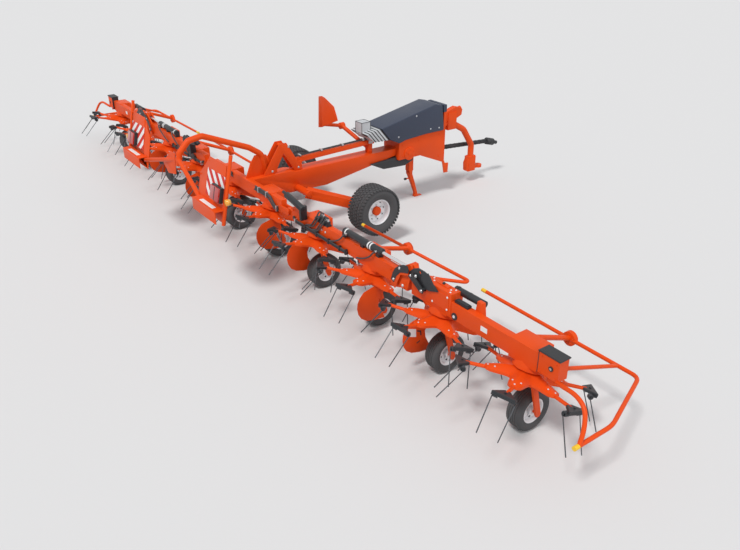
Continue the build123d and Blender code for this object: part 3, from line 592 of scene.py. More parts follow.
def rim_into(shape, half, rim, dish, steps):
    """A dished silver rim with its flanges and centre disc, about the z axis; dish is the disc's place."""
    well = rim * WELL_SHARE
    outside = [(half * share, rim + height) for share, height in FLANGE] + [(-half * WELL_WIDTH, well)]
    outside += [(-along, radius) for along, radius in outside[::-1]]
    inside = [(half * FLANGE_BACK, rim - RIM_WALL), (half * WELL_WIDTH, well - RIM_WALL)]
    disc = [(dish + DISC_THICKNESS, well - DISC_JOIN)]
    disc += [(dish + along, rim * share) for along, share in DISC_FACE + DISC_BACK]
    disc.append((dish, well - DISC_THICKNESS))
    far_inside = [(-along, radius) for along, radius in inside[::-1]]
    shape.lathe(outside + inside + disc + far_inside, steps, Matrix(), "silver", loop=True)


def on_circle(radius, turn, z):
    """A point on a circle about the z axis."""
    return Vector((radius * math.cos(turn), radius * math.sin(turn), z))


# Gauge wheels, sized by half width, tyre radius and rim radius

NARROW_WHEEL = (0.0825, 0.2025, 0.114)
WIDE_WHEEL = (0.108, 0.2285, 0.126)
WIDE_PLACES = (4, 5)
TYRE_STEPS = 56
RIM_STEPS = 36
HUB_STEPS = 20
RIB_GROOVES = (-0.42, -0.14, 0.14, 0.42)
DISH_SHARE = 0.25
HUB_BORE = 0.0155
HUB_MIDDLE = 0.042
HUB_SHOULDER = (0.72, 0.038)
HUB_END = (0.78, 0.032)
WHEEL_BOLTS = 5
WHEEL_BOLT_CIRCLE = 0.056
FRONT_BOLT = (0.01, 0.008)
BACK_BOLT = (-0.003, 0.007)
HAND_HOLE_CIRCLE = 0.079
HAND_HOLE_RISE = 0.006
# Black discs of painted shade at the rim's hand holes
HAND_HOLE_SHADE_DISC = [(0, 0.011), (0.0035, 0.011), (0.004, 0.009)]


def gauge_wheel_shape(half, radius, rim):
    """A gauge wheel about its own axis: ribbed tyre, silver rim, hub, bolts, and black discs of painted shade at
    the hand holes.
    """
    shape = Shape()
    shape.lathe(tyre_profile(half, radius, rim, RIB_GROOVES), TYRE_STEPS, Matrix(), "rubber", loop=True)
    dish = half * DISH_SHARE
    rim_into(shape, half, rim, dish, RIM_STEPS)
    for end in (-1, 1):
        hub = [(0, HUB_BORE), (0, HUB_MIDDLE)]
        hub += [(end * half * share, height) for share, height in (HUB_SHOULDER, HUB_END)]
        hub.append((end * half * HUB_END[0], HUB_BORE))
        shape.lathe(hub[::end], HUB_STEPS, Matrix(), "silver", loop=True)
    for turn in turns(WHEEL_BOLTS):
        for end, (rise, size) in ((1, FRONT_BOLT), (-1, BACK_BOLT)):
            shape.bolt(on_circle(WHEEL_BOLT_CIRCLE, turn, dish + rise), (0, 0, end), size)
    # Black discs of painted shade where the hand holes are
    for turn in turns(WHEEL_BOLTS, math.pi / WHEEL_BOLTS):
        for end in (-1, 1):
            place = facing(on_circle(HAND_HOLE_CIRCLE, turn, dish + end * HAND_HOLE_RISE), (0, 0, end))
            shape.lathe(HAND_HOLE_SHADE_DISC, HOLE_STEPS, place, "plastic")
    return shape


wheel_meshes = {size: gauge_wheel_shape(*size).mesh("gauge_wheel") for size in (NARROW_WHEEL, WIDE_WHEEL)}
for index in range(ROTORS):
    size = WIDE_WHEEL if index in WIDE_PLACES else NARROW_WHEEL
    name = f"gauge_wheel_{index + 1:02d}"
    joint = JOINTS[f"gauge_wheel_spin_{index + 1:02d}"]
    put(wheel_meshes[size], f"{name}_dressed", name, [name], facing(joint["pos_m"], (1, 0, 0)))


# Transport wheels

ROAD_HALF = 0.15
ROAD_RADIUS = 0.33
ROAD_RIM = 0.165
ROAD_DISH = 0.04
ROAD_GROOVES = (-0.3, 0.0, 0.3)
ROAD_HUB = [(-0.06, 0.032), (-0.06, 0.045), (-0.055, 0.06), (0.075, 0.06), (0.085, 0.052), (0.09, 0.03),
            (0.09, 0.001), (0.064, 0.001), (0.064, 0.032)]
ROAD_TYRE_STEPS = 64
ROAD_RIM_STEPS = 48
ROAD_HUB_STEPS = 24
ROAD_BOLTS = 6
ROAD_BOLT = 0.011
ROAD_BOLT_CIRCLE = 0.085
ROAD_BOLT_RISE = 0.051
ROAD_HOLES = 8
ROAD_HOLE_TURN = 0.2
ROAD_HOLE_CIRCLE = 0.125
ROAD_HOLE_RISE = 0.044
# Black discs of painted shade at the rim's holes
ROAD_HOLE_SHADE_DISC = [(0, 0.012), (0.003, 0.012), (0.0035, 0.01)]

SHOULDER_START = 0.55
SHOULDER_FALL = 0.03
SHOULDER_CURVE = 1.5
LUG_COUNT = 44
LUG_HEIGHT = 0.008
LUG_SLANT = 0.3

# Rows of lugs: from and to as shares of the half width, shift as a share of a step, and length
LUG_ROWS = [(-0.98, -0.76, 0.0, 0.7), (-0.7, -0.46, 0.5, 0.72), (-0.4, -0.16, 0.0, 0.72),
            (-0.1, 0.1, 0.5, 0.72), (0.16, 0.4, 0.0, 0.72), (0.46, 0.7, 0.5, 0.72), (0.76, 0.98, 0.0, 0.7)]

# Each lug's rings as lift from the tyre's body and share of its full outline
LUG_RINGS = ((-0.012, 1.0), (LUG_HEIGHT * 0.85, 0.9), (LUG_HEIGHT, 0.82))


def road_radius(along):
    """Radius of the road tyre's body at a place across its tread."""
    past = max(0, abs(along) / ROAD_HALF - SHOULDER_START)
    return ROAD_RADIUS - LUG_HEIGHT - SHOULDER_FALL * past ** SHOULDER_CURVE


def lug_into(shape, near, far, middle, reach, slant):
    """One lug of the road tyre, between two places across the tread, round an angle."""
    rings = []
    centre = (near + far) / 2
    for lift, draw in LUG_RINGS:
        ring = []
        for along, turn in ((near, -1), (far, -1), (far, 1), (near, 1)):
            spot = (centre + (along - centre) * draw) * ROAD_HALF
            angle = middle + turn * reach * draw + slant * (1 if along == far else -1)
            ring.append(on_circle(road_radius(spot) + lift, angle, spot))
        rings.append(ring[::-1])
    shape.skin(rings, "rubber")


def road_tyre_shape():
    """The transport wheel's tyre about its own axis, with seven rows of lugs."""
    shape = Shape()
    body = tyre_profile(ROAD_HALF, ROAD_RADIUS - LUG_HEIGHT, ROAD_RIM, ROAD_GROOVES)
    shape.lathe(body, ROAD_TYRE_STEPS, Matrix(), "rubber", loop=True)
    for row, (near, far, shift, length) in enumerate(LUG_ROWS):
        reach = math.tau / LUG_COUNT * length / 2
        slant = reach * LUG_SLANT * (1 if row % 2 else -1)
        for lug in range(LUG_COUNT):
            lug_into(shape, near, far, math.tau * (lug + shift) / LUG_COUNT, reach, slant)
    return shape


def road_rim_shape():
    """The transport wheel's rim, hub, bolts, and black discs of painted shade at its holes, its face towards +z.
    """
    shape = Shape()
    rim_into(shape, ROAD_HALF, ROAD_RIM, ROAD_DISH, ROAD_RIM_STEPS)
    shape.lathe(ROAD_HUB, ROAD_HUB_STEPS, Matrix(), "paint", loop=True)
    for turn in turns(ROAD_BOLTS):
        shape.bolt(on_circle(ROAD_BOLT_CIRCLE, turn, ROAD_BOLT_RISE), (0, 0, 1), ROAD_BOLT)
    # Black discs of painted shade where the holes are
    for turn in turns(ROAD_HOLES, ROAD_HOLE_TURN):
        place = facing(on_circle(ROAD_HOLE_CIRCLE, turn, ROAD_HOLE_RISE), (0, 0, 1))
        shape.lathe(ROAD_HOLE_SHADE_DISC, HOLE_STEPS, place, "plastic")
    return shape


road_shapes = {"road_tyre": road_tyre_shape(), "road_rim": road_rim_shape()}
for side, sign in (("right", 1), ("left", -1)):
    joint = JOINTS[f"road_wheel_spin_{side}"]
    place = facing(joint["pos_m"], (sign, 0, 0))
    for kind, shape in road_shapes.items():
        name = f"{kind}_{side}_dressed"
        put(shape.mesh(name), name, f"road_wheel_{side}", [f"{kind}_{side}"], place)


# CAD pieces: finishes, and softened edges on the plates and boxes

EDGE = 0.002
SOFT_EDGES = {"cover": 0.014, "cover_rear": 0.008, "belly_guard": 0.02, "drawbar": 0.004}
ROUND_NODES = ("guard_", "pto_", "hoses", "lamp_amber")
WELD_DISTANCE = 0.00002
FLAT_ANGLE = math.radians(0.5)

for node, obj in frame["nodes"].items():
    for material_slot in obj.material_slots:
        material_slot.material = PALETTE[BY_SLOT[RECORD_SLOTS[node]]]
    weld = obj.modifiers.new("weld", "WELD")
    weld.merge_threshold = WELD_DISTANCE
    flat = obj.modifiers.new("flat", "DECIMATE")
    flat.decimate_type = "DISSOLVE"
    flat.angle_limit = FLAT_ANGLE
    if not node.startswith(ROUND_NODES):
        bevel = obj.modifiers.new("bevel", "BEVEL")
        bevel.width = SOFT_EDGES.get(node, EDGE)
        bevel.segments = 3 if node in SOFT_EDGES else 2
        bevel.limit_method = "ANGLE"
        bevel.angle_limit = math.radians(SMOOTH_ANGLE)
        bevel.harden_normals = True
    obj.data.shade_smooth()
    obj.data.set_sharp_from_angle(angle=math.radians(SMOOTH_ANGLE))


# Help for the trims, with places in millimetres from the middle of the row of rotors and radii in metres

REAR = (0, -1, 0)
UP = (0, 0, 1)
FRONT = (0, 1, 0)
ACROSS = (1, 0, 0)
FLAT = Matrix.Translation((0, -MIDDLE, 0)) @ Matrix.Scale(MM, 4)
REARWARD = FLAT @ Matrix(((1, 0, 0, 0), (0, 0, -1, 0), (0, 1, 0, 0), (0, 0, 0, 1)))
SIDEWAYS = FLAT @ Matrix(((0, 0, 1, 0), (1, 0, 0, 0), (0, 1, 0, 0), (0, 0, 0, 1)))
CORNER_STEPS = 5
PIN_STRAIGHT = 0.85
PIN_CHAMFER = 0.86

BEAM_REAR = -78
GEAR_BOX_TOP = 908
GEAR_BOX_FRONT = 118
GEAR_BOX_HALF = 120
GEAR_BOX_ROWS = (60, 100)
RAIL_Y = 820
RAIL_Z = 520
RAIL_HUB_HALF = 25
OUTER_RAIL_HUB = 4650
INNER_RAIL_HUB = 2270
RAIL_RADIUS = 0.019
SLEEVE_RADIUS = 0.0205
HOSE_RADIUS = 0.009
THIN_HOSE_RADIUS = 0.007
TUBE_SIDES = 14
SLEEVE_SIDES = 12
ROD_SIDES = 16
SEAM_SIDES = 6
PORT_SIDES = 6
SMALL_BOLT = 0.007
BOLT = 0.008
FLANGE_BOLT = 0.009
MEDIUM_BOLT = 0.011
HEAVY_BOLT = 0.012

# Circle, number and size of the bolts on a rail's hub and on the hubs at the headstock's sides
RAIL_HUB_BOLTS = (0.048, 5, BOLT)
SIDE_HUB_BOLTS = (0.07, 6, FLANGE_BOLT)


def box(shape, low, high, colour, edge=3.0):
    """A box with softened edges between two corners."""
    outline = [(low[0], low[1]), (high[0], low[1]), (high[0], high[1]), (low[0], high[1])]
    shape.slab(outline, FLAT, low[2], high[2], colour, edge)


def plate(shape, outline, plane, low, thickness, colour, edge):
    """A thin plate or sheet on a plane."""
    shape.slab(outline, plane, low, low + thickness, colour, edge)


def rectangle(left, foot, right, top):
    """A rectangle's outline."""
    return [(left, foot), (right, foot), (right, top), (left, top)]


def pin(shape, point, way, length, radius, colour="zinc", steps=16):
    """A round pin or cap that starts at a point, its length in millimetres."""
    tip = length * MM
    profile = [(0, radius), (tip * PIN_STRAIGHT, radius), (tip, radius * PIN_CHAMFER)]
    shape.lathe(profile, steps, facing(at(*point), way), colour)


def ring(shape, point, way, half, radius, colour, steps=24):
    """A short round band about a rod or tube, its half width in metres."""
    shape.lathe([(-half, radius), (half, radius)], steps, facing(at(*point), way), colour)


def ring_of_bolts(shape, point, way, circle, count, radius, colour="paint"):
    """Bolts on a circle."""
    place = facing(at(*point), way)
    for turn in turns(count):
        shape.bolt(place @ on_circle(circle, turn, 0), way, radius, colour)


def rail_hub_bolts(shape, x):
    """The bolts on both faces of a front rail's hub."""
    ring_of_bolts(shape, (x, RAIL_Y + RAIL_HUB_HALF, RAIL_Z), FRONT, *RAIL_HUB_BOLTS)
    ring_of_bolts(shape, (x, RAIL_Y - RAIL_HUB_HALF, RAIL_Z), REAR, *RAIL_HUB_BOLTS)


def rounded(path, reach):
    """A path with its corners rounded over a reach on both sides of each."""
    smooth = [path[0]]
    for before, corner, after in zip(path, path[1:], path[2:]):
        near = corner + (before - corner).normalized() * min(reach, (before - corner).length / 2)
        far = corner + (after - corner).normalized() * min(reach, (after - corner).length / 2)
        for step in range(CORNER_STEPS + 1):
            share = step / CORNER_STEPS
            smooth.append(near.lerp(corner, share).lerp(corner.lerp(far, share), share))
    return smooth + [path[-1]]


def pipe(shape, path, radius, colour, sides=8, bend=60):
    """A pipe or hose along points."""
    shape.tube(rounded([at(*point) for point in path], bend * MM), radius, colour, sides)


# Trim of the outer sections, right side first

END_REAR = -102
END_BOX = ((5046, END_REAR, 756), (5252, 10, 951))
END_CAP = ((5036, -108, 951), (5262, 16, 968))
END_SEAM = ((5040, -104, 756), (5046, 6, 951))
END_PLUG = (5177, 856)
PLUG_LENGTH = 9
END_BOLTS_X = (5075, 5225)
END_BOLTS_Z = (785, 925)

LINK_FACE = -132
LINK_FACE_BOLTS = ((3547, 994, HEAVY_BOLT), (3629, 872, HEAVY_BOLT), (3470, 968, 0.01))
LINK_COVER_FACE = -104
LINK_COVER_BOLTS = ((3690, 1062), (3560, 905))
REAR_PLATE = rectangle(3730, 790, 3960, 945)
REAR_PLATE_FACE = -90
REAR_PLATE_THICKNESS = 6
REAR_PLATE_BOLTS_X = (3745, 3945)
REAR_PLATE_BOLTS_Z = (805, 930)
TOP_PLATE = 975
TOP_PLATE_BOLTS = ((3650, -60), (3950, -60), (3650, 10), (3950, 10), (3690, -25), (3920, -25))
LID = ((3720, -30, TOP_PLATE), (3880, 20, 982))
LID_CAP = (3800, -5, 982)

# A black patch on the beam's top: painted shade for a slot
SLOT_SHADE_PATCH = ((4020, -56, 925), (4170, -14, 934))
BOSS = (4040, 775)
BOSS_LENGTH = 8
BOSS_STEPS = 24
STICKER_FACE = 3615
WHITE_STICKER = [(-263, 498), (-164, 461), (-160, 370), (-260, 407)]
# Thin black strips on the wheel's plate: painted shade lines
BENT_SHADE_STRIP = [(-150, 442), (-100, 422), (-92, 368), (-106, 366), (-113, 410), (-154, 427)]
SHORT_SHADE_STRIP = [(-150, 300), (-112, 316), (-108, 304), (-146, 288)]
BEAM_STICKER = rectangle(4370, 795, 4450, 845)
WHITE_THICKNESS = 0.8
SHADE_STRIP_THICKNESS = 0.6
STICKER_EDGE = 0.2
BAND_PLACES = (3930, 4080, 4240)
OUTER_CYLINDER = (60, 953)
OUTER_BAND_RADIUS = 0.0365
OUTER_BAND_HALF = 0.006
OUTER_BAND_STEPS = 20


def end_box_into(shape):
    """The box at the end of the beam, its black cap and seam, and the plug and bolts on its rear."""
    box(shape, *END_BOX, "paint", 5)
    box(shape, *END_CAP, "plastic", 4)
    box(shape, *END_SEAM, "plastic", 1)
    x, z = END_PLUG
    pin(shape, (x, END_REAR, z), REAR, PLUG_LENGTH, 0.022, "plastic")
    pin(shape, (x, END_REAR - PLUG_LENGTH, z), REAR, 2, 0.011, "zinc")
    for z in END_BOLTS_Z:
        for x in END_BOLTS_X:
            shape.bolt(at(x, END_REAR, z), REAR, SMALL_BOLT, "paint")


def outer_rail_ends_into(shape):
    """The yellow ends of the front rail and the bolts of its hub."""
    pipe(shape, [(3497, RAIL_Y, RAIL_Z), (3560, 819.4, RAIL_Z)], SLEEVE_RADIUS, "yellow", SLEEVE_SIDES)
    pipe(shape, [(5662, -300, RAIL_Z), (5662, -350, RAIL_Z)], 0.0207, "yellow", SLEEVE_SIDES)
    rail_hub_bolts(shape, OUTER_RAIL_HUB)


def hinge_cover_into(shape):
    """Bolts of the hinge's link and its cover, the plate beside them, and the bolts of the top plate."""
    for x, z, radius in LINK_FACE_BOLTS:
        shape.bolt(at(x, LINK_FACE, z), REAR, radius)
    for x, z in LINK_COVER_BOLTS:
        shape.bolt(at(x, LINK_COVER_FACE, z), REAR, BOLT, "black")
    inside = -REAR_PLATE_FACE - REAR_PLATE_THICKNESS
    plate(shape, REAR_PLATE, REARWARD, inside, REAR_PLATE_THICKNESS, "paint", 2)
    for x in REAR_PLATE_BOLTS_X:
        for z in REAR_PLATE_BOLTS_Z:
            shape.bolt(at(x, REAR_PLATE_FACE, z), REAR, BOLT, "silver")
    for x, y in TOP_PLATE_BOLTS:
        shape.bolt(at(x, y, TOP_PLATE), UP, SMALL_BOLT, "silver")


def outer_beam_into(shape):
    """What sits on the beam: the boss, blank stickers, thin black strips of painted shade on the wheel's plate,
    the lid with its cap, a black patch of painted shade for a slot, and cylinder bands.
    """
    x, z = BOSS
    pin(shape, (x, BEAM_REAR, z), REAR, BOSS_LENGTH, 0.036, "plastic", BOSS_STEPS)
    pin(shape, (x, BEAM_REAR - BOSS_LENGTH, z), REAR, 5, 0.015, "silver")
    plate(shape, WHITE_STICKER, SIDEWAYS, STICKER_FACE, WHITE_THICKNESS, "white", STICKER_EDGE)
    # Black strips of painted shade on the wheel's plate
    plate(shape, BENT_SHADE_STRIP, SIDEWAYS, STICKER_FACE, SHADE_STRIP_THICKNESS, "plastic", STICKER_EDGE)
    plate(shape, SHORT_SHADE_STRIP, SIDEWAYS, STICKER_FACE, SHADE_STRIP_THICKNESS, "plastic", STICKER_EDGE)
    box(shape, *LID, "paint", 2)
    pin(shape, LID_CAP, UP, 14, 0.014, "plastic")
    plate(shape, BEAM_STICKER, REARWARD, -BEAM_REAR, WHITE_THICKNESS, "white", 0.3)
    # Painted shade for the slot
    box(shape, *SLOT_SHADE_PATCH, "plastic")
    for x in BAND_PLACES:
        ring(shape, (x, *OUTER_CYLINDER), ACROSS, OUTER_BAND_HALF, OUTER_BAND_RADIUS, "plastic",
             OUTER_BAND_STEPS)


outer = Shape()
end_box_into(outer)
outer_rail_ends_into(outer)
hinge_cover_into(outer)
outer_beam_into(outer)
put_both(outer, "trim_outer", "outer_wing")


# Front rail of the outer sections, with the hoop round the end rotor

RAIL = [(3500, 820, 520), (5400, 800, 520), (5662, 100, 520), (5662, -310, 520)]
HOOP = [(5662, -290, 526), (5645, -235, 640), (5590, -180, 765), (5470, -150, 806), (5340, -140, 796),
        (5246, -96, 762)]
END_STAY = [(5190, -20, 808), (5190, 60, 800), (5190, 800, 524)]
HUB_STAY = [(4660, -6, 850), (4650, 815, 525)]
RAIL_HUB = [(-0.026, 0.06), (-0.022, 0.072), (0.022, 0.072), (0.026, 0.06)]
RAIL_HUB_STEPS = 28
RAIL_BEND = 70
STAY_BEND = 30
END_STAY_RADIUS = 0.018
HUB_STAY_RADIUS = 0.026
HUB_STAY_FOOT = ((4615, -2, 805), (4705, 10, 895))

guard = Shape()
pipe(guard, RAIL, RAIL_RADIUS, "paint", TUBE_SIDES, RAIL_BEND)
pipe(guard, HOOP, RAIL_RADIUS, "paint", TUBE_SIDES, RAIL_BEND)
pipe(guard, END_STAY, END_STAY_RADIUS, "paint", TUBE_SIDES, STAY_BEND)
pipe(guard, HUB_STAY, HUB_STAY_RADIUS, "paint", TUBE_SIDES)
guard.lathe(RAIL_HUB, RAIL_HUB_STEPS, facing(at(OUTER_RAIL_HUB, RAIL_Y, RAIL_Z), FRONT), "paint")
box(guard, *HUB_STAY_FOOT, "paint", 2)
for side, shape in (("right", guard), ("left", guard.mirrored())):
    name = f"guard_outer_{side}_dressed"
    put(shape.mesh(name), name, f"outer_wing_{side}", [f"guard_outer_{side}"])


# Trim of the inner sections

CYLINDER_Y = -40
CYLINDER_Z = 965
ROD_RADIUS = 0.0186
ROD_ENDS = (2902, 3302)
GLAND_X = 2900
GLAND = [(-0.03, 0.0395), (0.01, 0.0395), (0.014, 0.034)]
GLAND_STEPS = 24
INNER_BAND_PLACES = (2300, 2705, 2745)
INNER_BAND_RADIUS = 0.0405
INNER_BAND_HALF = 0.009
PORTS = (2330, 2860)
PORT_RADIUS = 0.013
CURVED_PLATE = [(3160, 800), (3205, 780), (3240, 860), (3300, 925), (3370, 950), (3420, 962), (3428, 1000),
               (3410, 1040), (3350, 1028), (3290, 1000), (3225, 945), (3185, 880)]
LEVER_SURFACE = 118.2
CURVED_THICKNESS = 5.2
CURVED_BOLTS = ((3205, 815), (3290, 968))
LEVER_BOLT = (3340, -118, 800)
VALVE_SPOTS = ((1790, -45, 985), (1838, -45, 985), (1890, -45, 960), (1930, -45, 960))
BRACKET_BOLTS = ((1784, 858), (1845, 843), (1915, 835))
VALVE_BLOCK = ((1700, BEAM_REAR, 905), (1772, -20, 950))
VALVE_BEND = 40
CLAMP_PLACES = (1300, 1520, 1760, 2000, 2220, 2340)
CLAMP_HALF = 12
INNER_GEAR_BOXES = (1620, 2700)
GEAR_BOX_LEVELS = (750, 880)
INNER_FLANGES = (1230, 3100)
FLANGE_LEVELS = (770, 870)

# Routes of hoses, from the port or valve that they leave
PORT_HOSE = ((0, -90, 0), (-20, -108, -15), (-60, -108, -65), (-130, -100, -115), (-230, -96, -165),
             (-330, -94, -195))
VALVE_HOSE = ((0, 0, 24), (0, 0, 44), (-6, -24, 50), (-12, -46, 10), (-60, -52, -60), (-140, -50, -150),
              (-260, -48, -190))
BEAM_HOSE = [(1250, -97, 775), (1600, -97, 778), (2000, -97, 775), (2355, -97, 772)]


def fold_cylinder_into(shape):
    """The inner fold cylinder's rod, gland and bands, and its ports with their hoses."""
    rod = [(x, CYLINDER_Y, CYLINDER_Z) for x in ROD_ENDS]
    pipe(shape, rod, ROD_RADIUS, "chrome", ROD_SIDES)
    shape.lathe(GLAND, GLAND_STEPS, facing(at(GLAND_X, CYLINDER_Y, CYLINDER_Z), ACROSS), "black")
    for x in INNER_BAND_PLACES:
        ring(shape, (x, CYLINDER_Y, CYLINDER_Z), ACROSS, INNER_BAND_HALF, INNER_BAND_RADIUS, "white")
    for port in PORTS:
        pin(shape, (port, -76, CYLINDER_Z), REAR, 20, PORT_RADIUS, "zinc", PORT_SIDES)
        pipe(shape, [(port + x, y, CYLINDER_Z + z) for x, y, z in PORT_HOSE], HOSE_RADIUS, "rubber")


def curved_plate_into(shape):
    """The curved black plate on the outer hinge's lever, with its bolts and the lever's bolt."""
    plate(shape, CURVED_PLATE, REARWARD, LEVER_SURFACE, CURVED_THICKNESS, "black", 1)
    for x, z in CURVED_BOLTS:
        shape.bolt(at(x, -LEVER_SURFACE - CURVED_THICKNESS, z), REAR, MEDIUM_BOLT)
    shape.bolt(at(*LEVER_BOLT), REAR, HEAVY_BOLT)


def valves_into(shape):
    """Valve fittings with their hoses, and the valve bracket's bolts and block."""
    for x, y, z in VALVE_SPOTS:
        pin(shape, (x, y, z), UP, 30, PORT_RADIUS, "zinc", PORT_SIDES)
        hose = [(x + dx, y + dy, z + dz) for dx, dy, dz in VALVE_HOSE]
        pipe(shape, hose, HOSE_RADIUS, "rubber", bend=VALVE_BEND)
    for x, z in BRACKET_BOLTS:
        shape.bolt(at(x, BEAM_REAR, z), REAR, 0.01)
    box(shape, *VALVE_BLOCK, "plastic", 4)


def beam_hose_into(shape):
    """A hose along the beam, and the clamps that hold it."""
    pipe(shape, BEAM_HOSE, 0.008, "rubber")
    for x in CLAMP_PLACES:
        colour = "zinc" if x == CLAMP_PLACES[0] else "plastic"
        box(shape, (x - CLAMP_HALF, -110, 732), (x + CLAMP_HALF, BEAM_REAR, 792), colour, 2)


def inner_bolts_into(shape):
    """The front rail's yellow end and hub bolts, and the bolts of the gear boxes and end flanges."""
    pipe(shape, [(1398, 800, RAIL_Z), (1450, 801, RAIL_Z)], SLEEVE_RADIUS, "yellow", SLEEVE_SIDES)
    rail_hub_bolts(shape, INNER_RAIL_HUB)
    for centre in INNER_GEAR_BOXES:
        for x in (centre - GEAR_BOX_HALF, centre + GEAR_BOX_HALF):
            for y in GEAR_BOX_ROWS:
                shape.bolt(at(x, y, GEAR_BOX_TOP), UP, BOLT, "paint")
            for z in GEAR_BOX_LEVELS:
                shape.bolt(at(x, GEAR_BOX_FRONT, z), FRONT, BOLT, "paint")
    for x in INNER_FLANGES:
        for z in FLANGE_LEVELS:
            shape.bolt(at(x, BEAM_REAR, z), REAR, FLANGE_BOLT, "paint")


inner = Shape()
fold_cylinder_into(inner)
curved_plate_into(inner)
valves_into(inner)
beam_hose_into(inner)
inner_bolts_into(inner)
put_both(inner, "trim_inner", "inner_wing")


# Trim of the chassis

COVER_REAR = [(1740, 1200), (1830, 1225), (1984, 1248), (2144, 1060), (1880, 1075)]
COVER_REAR_HALF = 191.5
STRIPE_WAY = (0.761, 0.648)
STRIPE_FRONT = 2318.5
STRIPE_STEP = 42
STRIPE_WIDTH = 15
STRIPES = 6
STRIPE_RISE = 1.5
PALE_BOX_SIDES = (-75, 75)
PALE_BOX_ENDS = (1740, 1890)
PALE_BOX_FOOT = 1180
PALE_BOX_TOP = 1345
SEAM_RADIUS = 0.0035
COVER_CAP = ((-186, 3163, 1300), (186, 3221, 1412))
TUBE_START = 690
TUBE_RISE = 0.0269
TUBE_CLAMPS = (760, 1100, 1450, 1800)
STUB = [(3222, 1085), (3222, 1205), (3540, 1300), (3640, 1272), (3674, 1240), (3662, 1158), (3520, 1098)]
STUB_HALF = 46
EYE_PLATE = [(3850, 205), (3842, 330), (3892, 440), (4022, 440), (4030, 215), (3990, 185), (3880, 185)]
EYE_PLATE_HALF = 50
SHAFT_X = -110
SHAFT_WAY = (0, 0.9974, -0.0717)
SHAFT_REAR = (3190, 657)
SHAFT_LENGTH = 1210
SHAFT_FALL = 87
SHAFT_HOSE = [(-60, 3216, 1010), (-60, 3250, 990), (-75, 3275, 900), (-95, 3275, 780), (-110, 3250, 694)]
RIB_PLACES = range(3250, 4380, 90)
RIB_RADIUS = 0.0365
RIB_HALF = 0.006
SIDE_HUB = (200, 2520, 790)
HEADSTOCK_SIDE = 182
HEADSTOCK_BOLTS = ((2400, 930), (2700, 960), (3100, 980), (3100, 640), (2400, 770))
COVER_SIDE = 205
COVER_BOLTS = ((2623, 1335), (3064, 1090), (2300, 1080), (2900, 1100))
MAST_SIDE = 70
MAST_BOLTS = ((300, 940), (560, 1230), (700, 920))
CENTRE_GEAR_BOLTS_X = (420, 660)
UPPER_HOSE = ((330, -95, 905), (560, -97, 905), (690, -97, 902), (800, -97, 800), (880, -97, 798))
LOWER_HOSE = ((300, -97, 855), (560, -97, 857), (660, -97, 850), (790, -97, 752), (880, -97, 750))
HOSE_CLAMPS = ((420, 880), (620, 880), (860, 775))


def cover_stripes_into(shape):
    """The dark slanted bands round the rear end of the cover."""
    grown = inset(anticlockwise(COVER_REAR), -STRIPE_RISE)
    for step in range(STRIPES):
        low_edge = STRIPE_FRONT - STRIPE_STEP * step - STRIPE_WIDTH
        stripe = band(grown, *STRIPE_WAY, low_edge, low_edge + STRIPE_WIDTH)
        if len(stripe) > 2:
            shape.slab(stripe, SIDEWAYS, -COVER_REAR_HALF, COVER_REAR_HALF, "plastic", 0.3)


def pale_box_into(shape):
    """Dark seams along the edges of the pale box."""
    left, right = PALE_BOX_SIDES
    near, far = PALE_BOX_ENDS
    for y in PALE_BOX_ENDS:
        for x in PALE_BOX_SIDES:
            pipe(shape, [(x, y, PALE_BOX_FOOT), (x, y, PALE_BOX_TOP)], SEAM_RADIUS, "plastic", SEAM_SIDES)
        pipe(shape, [(left, y, PALE_BOX_TOP), (right, y, PALE_BOX_TOP)], SEAM_RADIUS, "plastic", SEAM_SIDES)
    for x in PALE_BOX_SIDES:
        pipe(shape, [(x, near, PALE_BOX_TOP), (x, far, PALE_BOX_TOP)], SEAM_RADIUS, "plastic", SEAM_SIDES)


def upper_tube_into(shape):
    """The cap on the cover, and the hoses along the upper tube with their clamps."""
    box(shape, *COVER_CAP, "cover", 6)
    for x, colour in ((-18, "plastic"), (18, "rubber")):
        pipe(shape, [(x, 700, 1056), (x, 1900, 1085)], THIN_HOSE_RADIUS, colour)
    for y in TUBE_CLAMPS:
        rise = (y - TUBE_START) * TUBE_RISE
        box(shape, (-30, y - CLAMP_HALF, 1046 + rise), (30, y + CLAMP_HALF, 1068 + rise), "zinc", 2)


def drawbar_into(shape):
    """The stub's plates and pin, and the plates at the towing eye with their bolts."""
    shape.slab(STUB, SIDEWAYS, -STUB_HALF, STUB_HALF, "paint", 5)
    pin(shape, (0, 3655, 1205), (0, 0.97, 0.24), 22, 0.03, "plastic")
    shape.slab(EYE_PLATE, SIDEWAYS, -EYE_PLATE_HALF, EYE_PLATE_HALF, "paint", 6)
    for z in (240, 300):
        shape.bolt(at(EYE_PLATE_HALF, 3880, z), ACROSS, MEDIUM_BOLT, "paint")


def drive_shaft_into(shape):
    """Ribs along the drive shaft's guard, and the hose that comes down to it."""
    rear, level = SHAFT_REAR
    for y in RIB_PLACES:
        share = (y - rear) / SHAFT_LENGTH
        ring(shape, (SHAFT_X, y, level - SHAFT_FALL * share), SHAFT_WAY, RIB_HALF, RIB_RADIUS, "plastic")
    pipe(shape, SHAFT_HOSE, THIN_HOSE_RADIUS, "rubber")


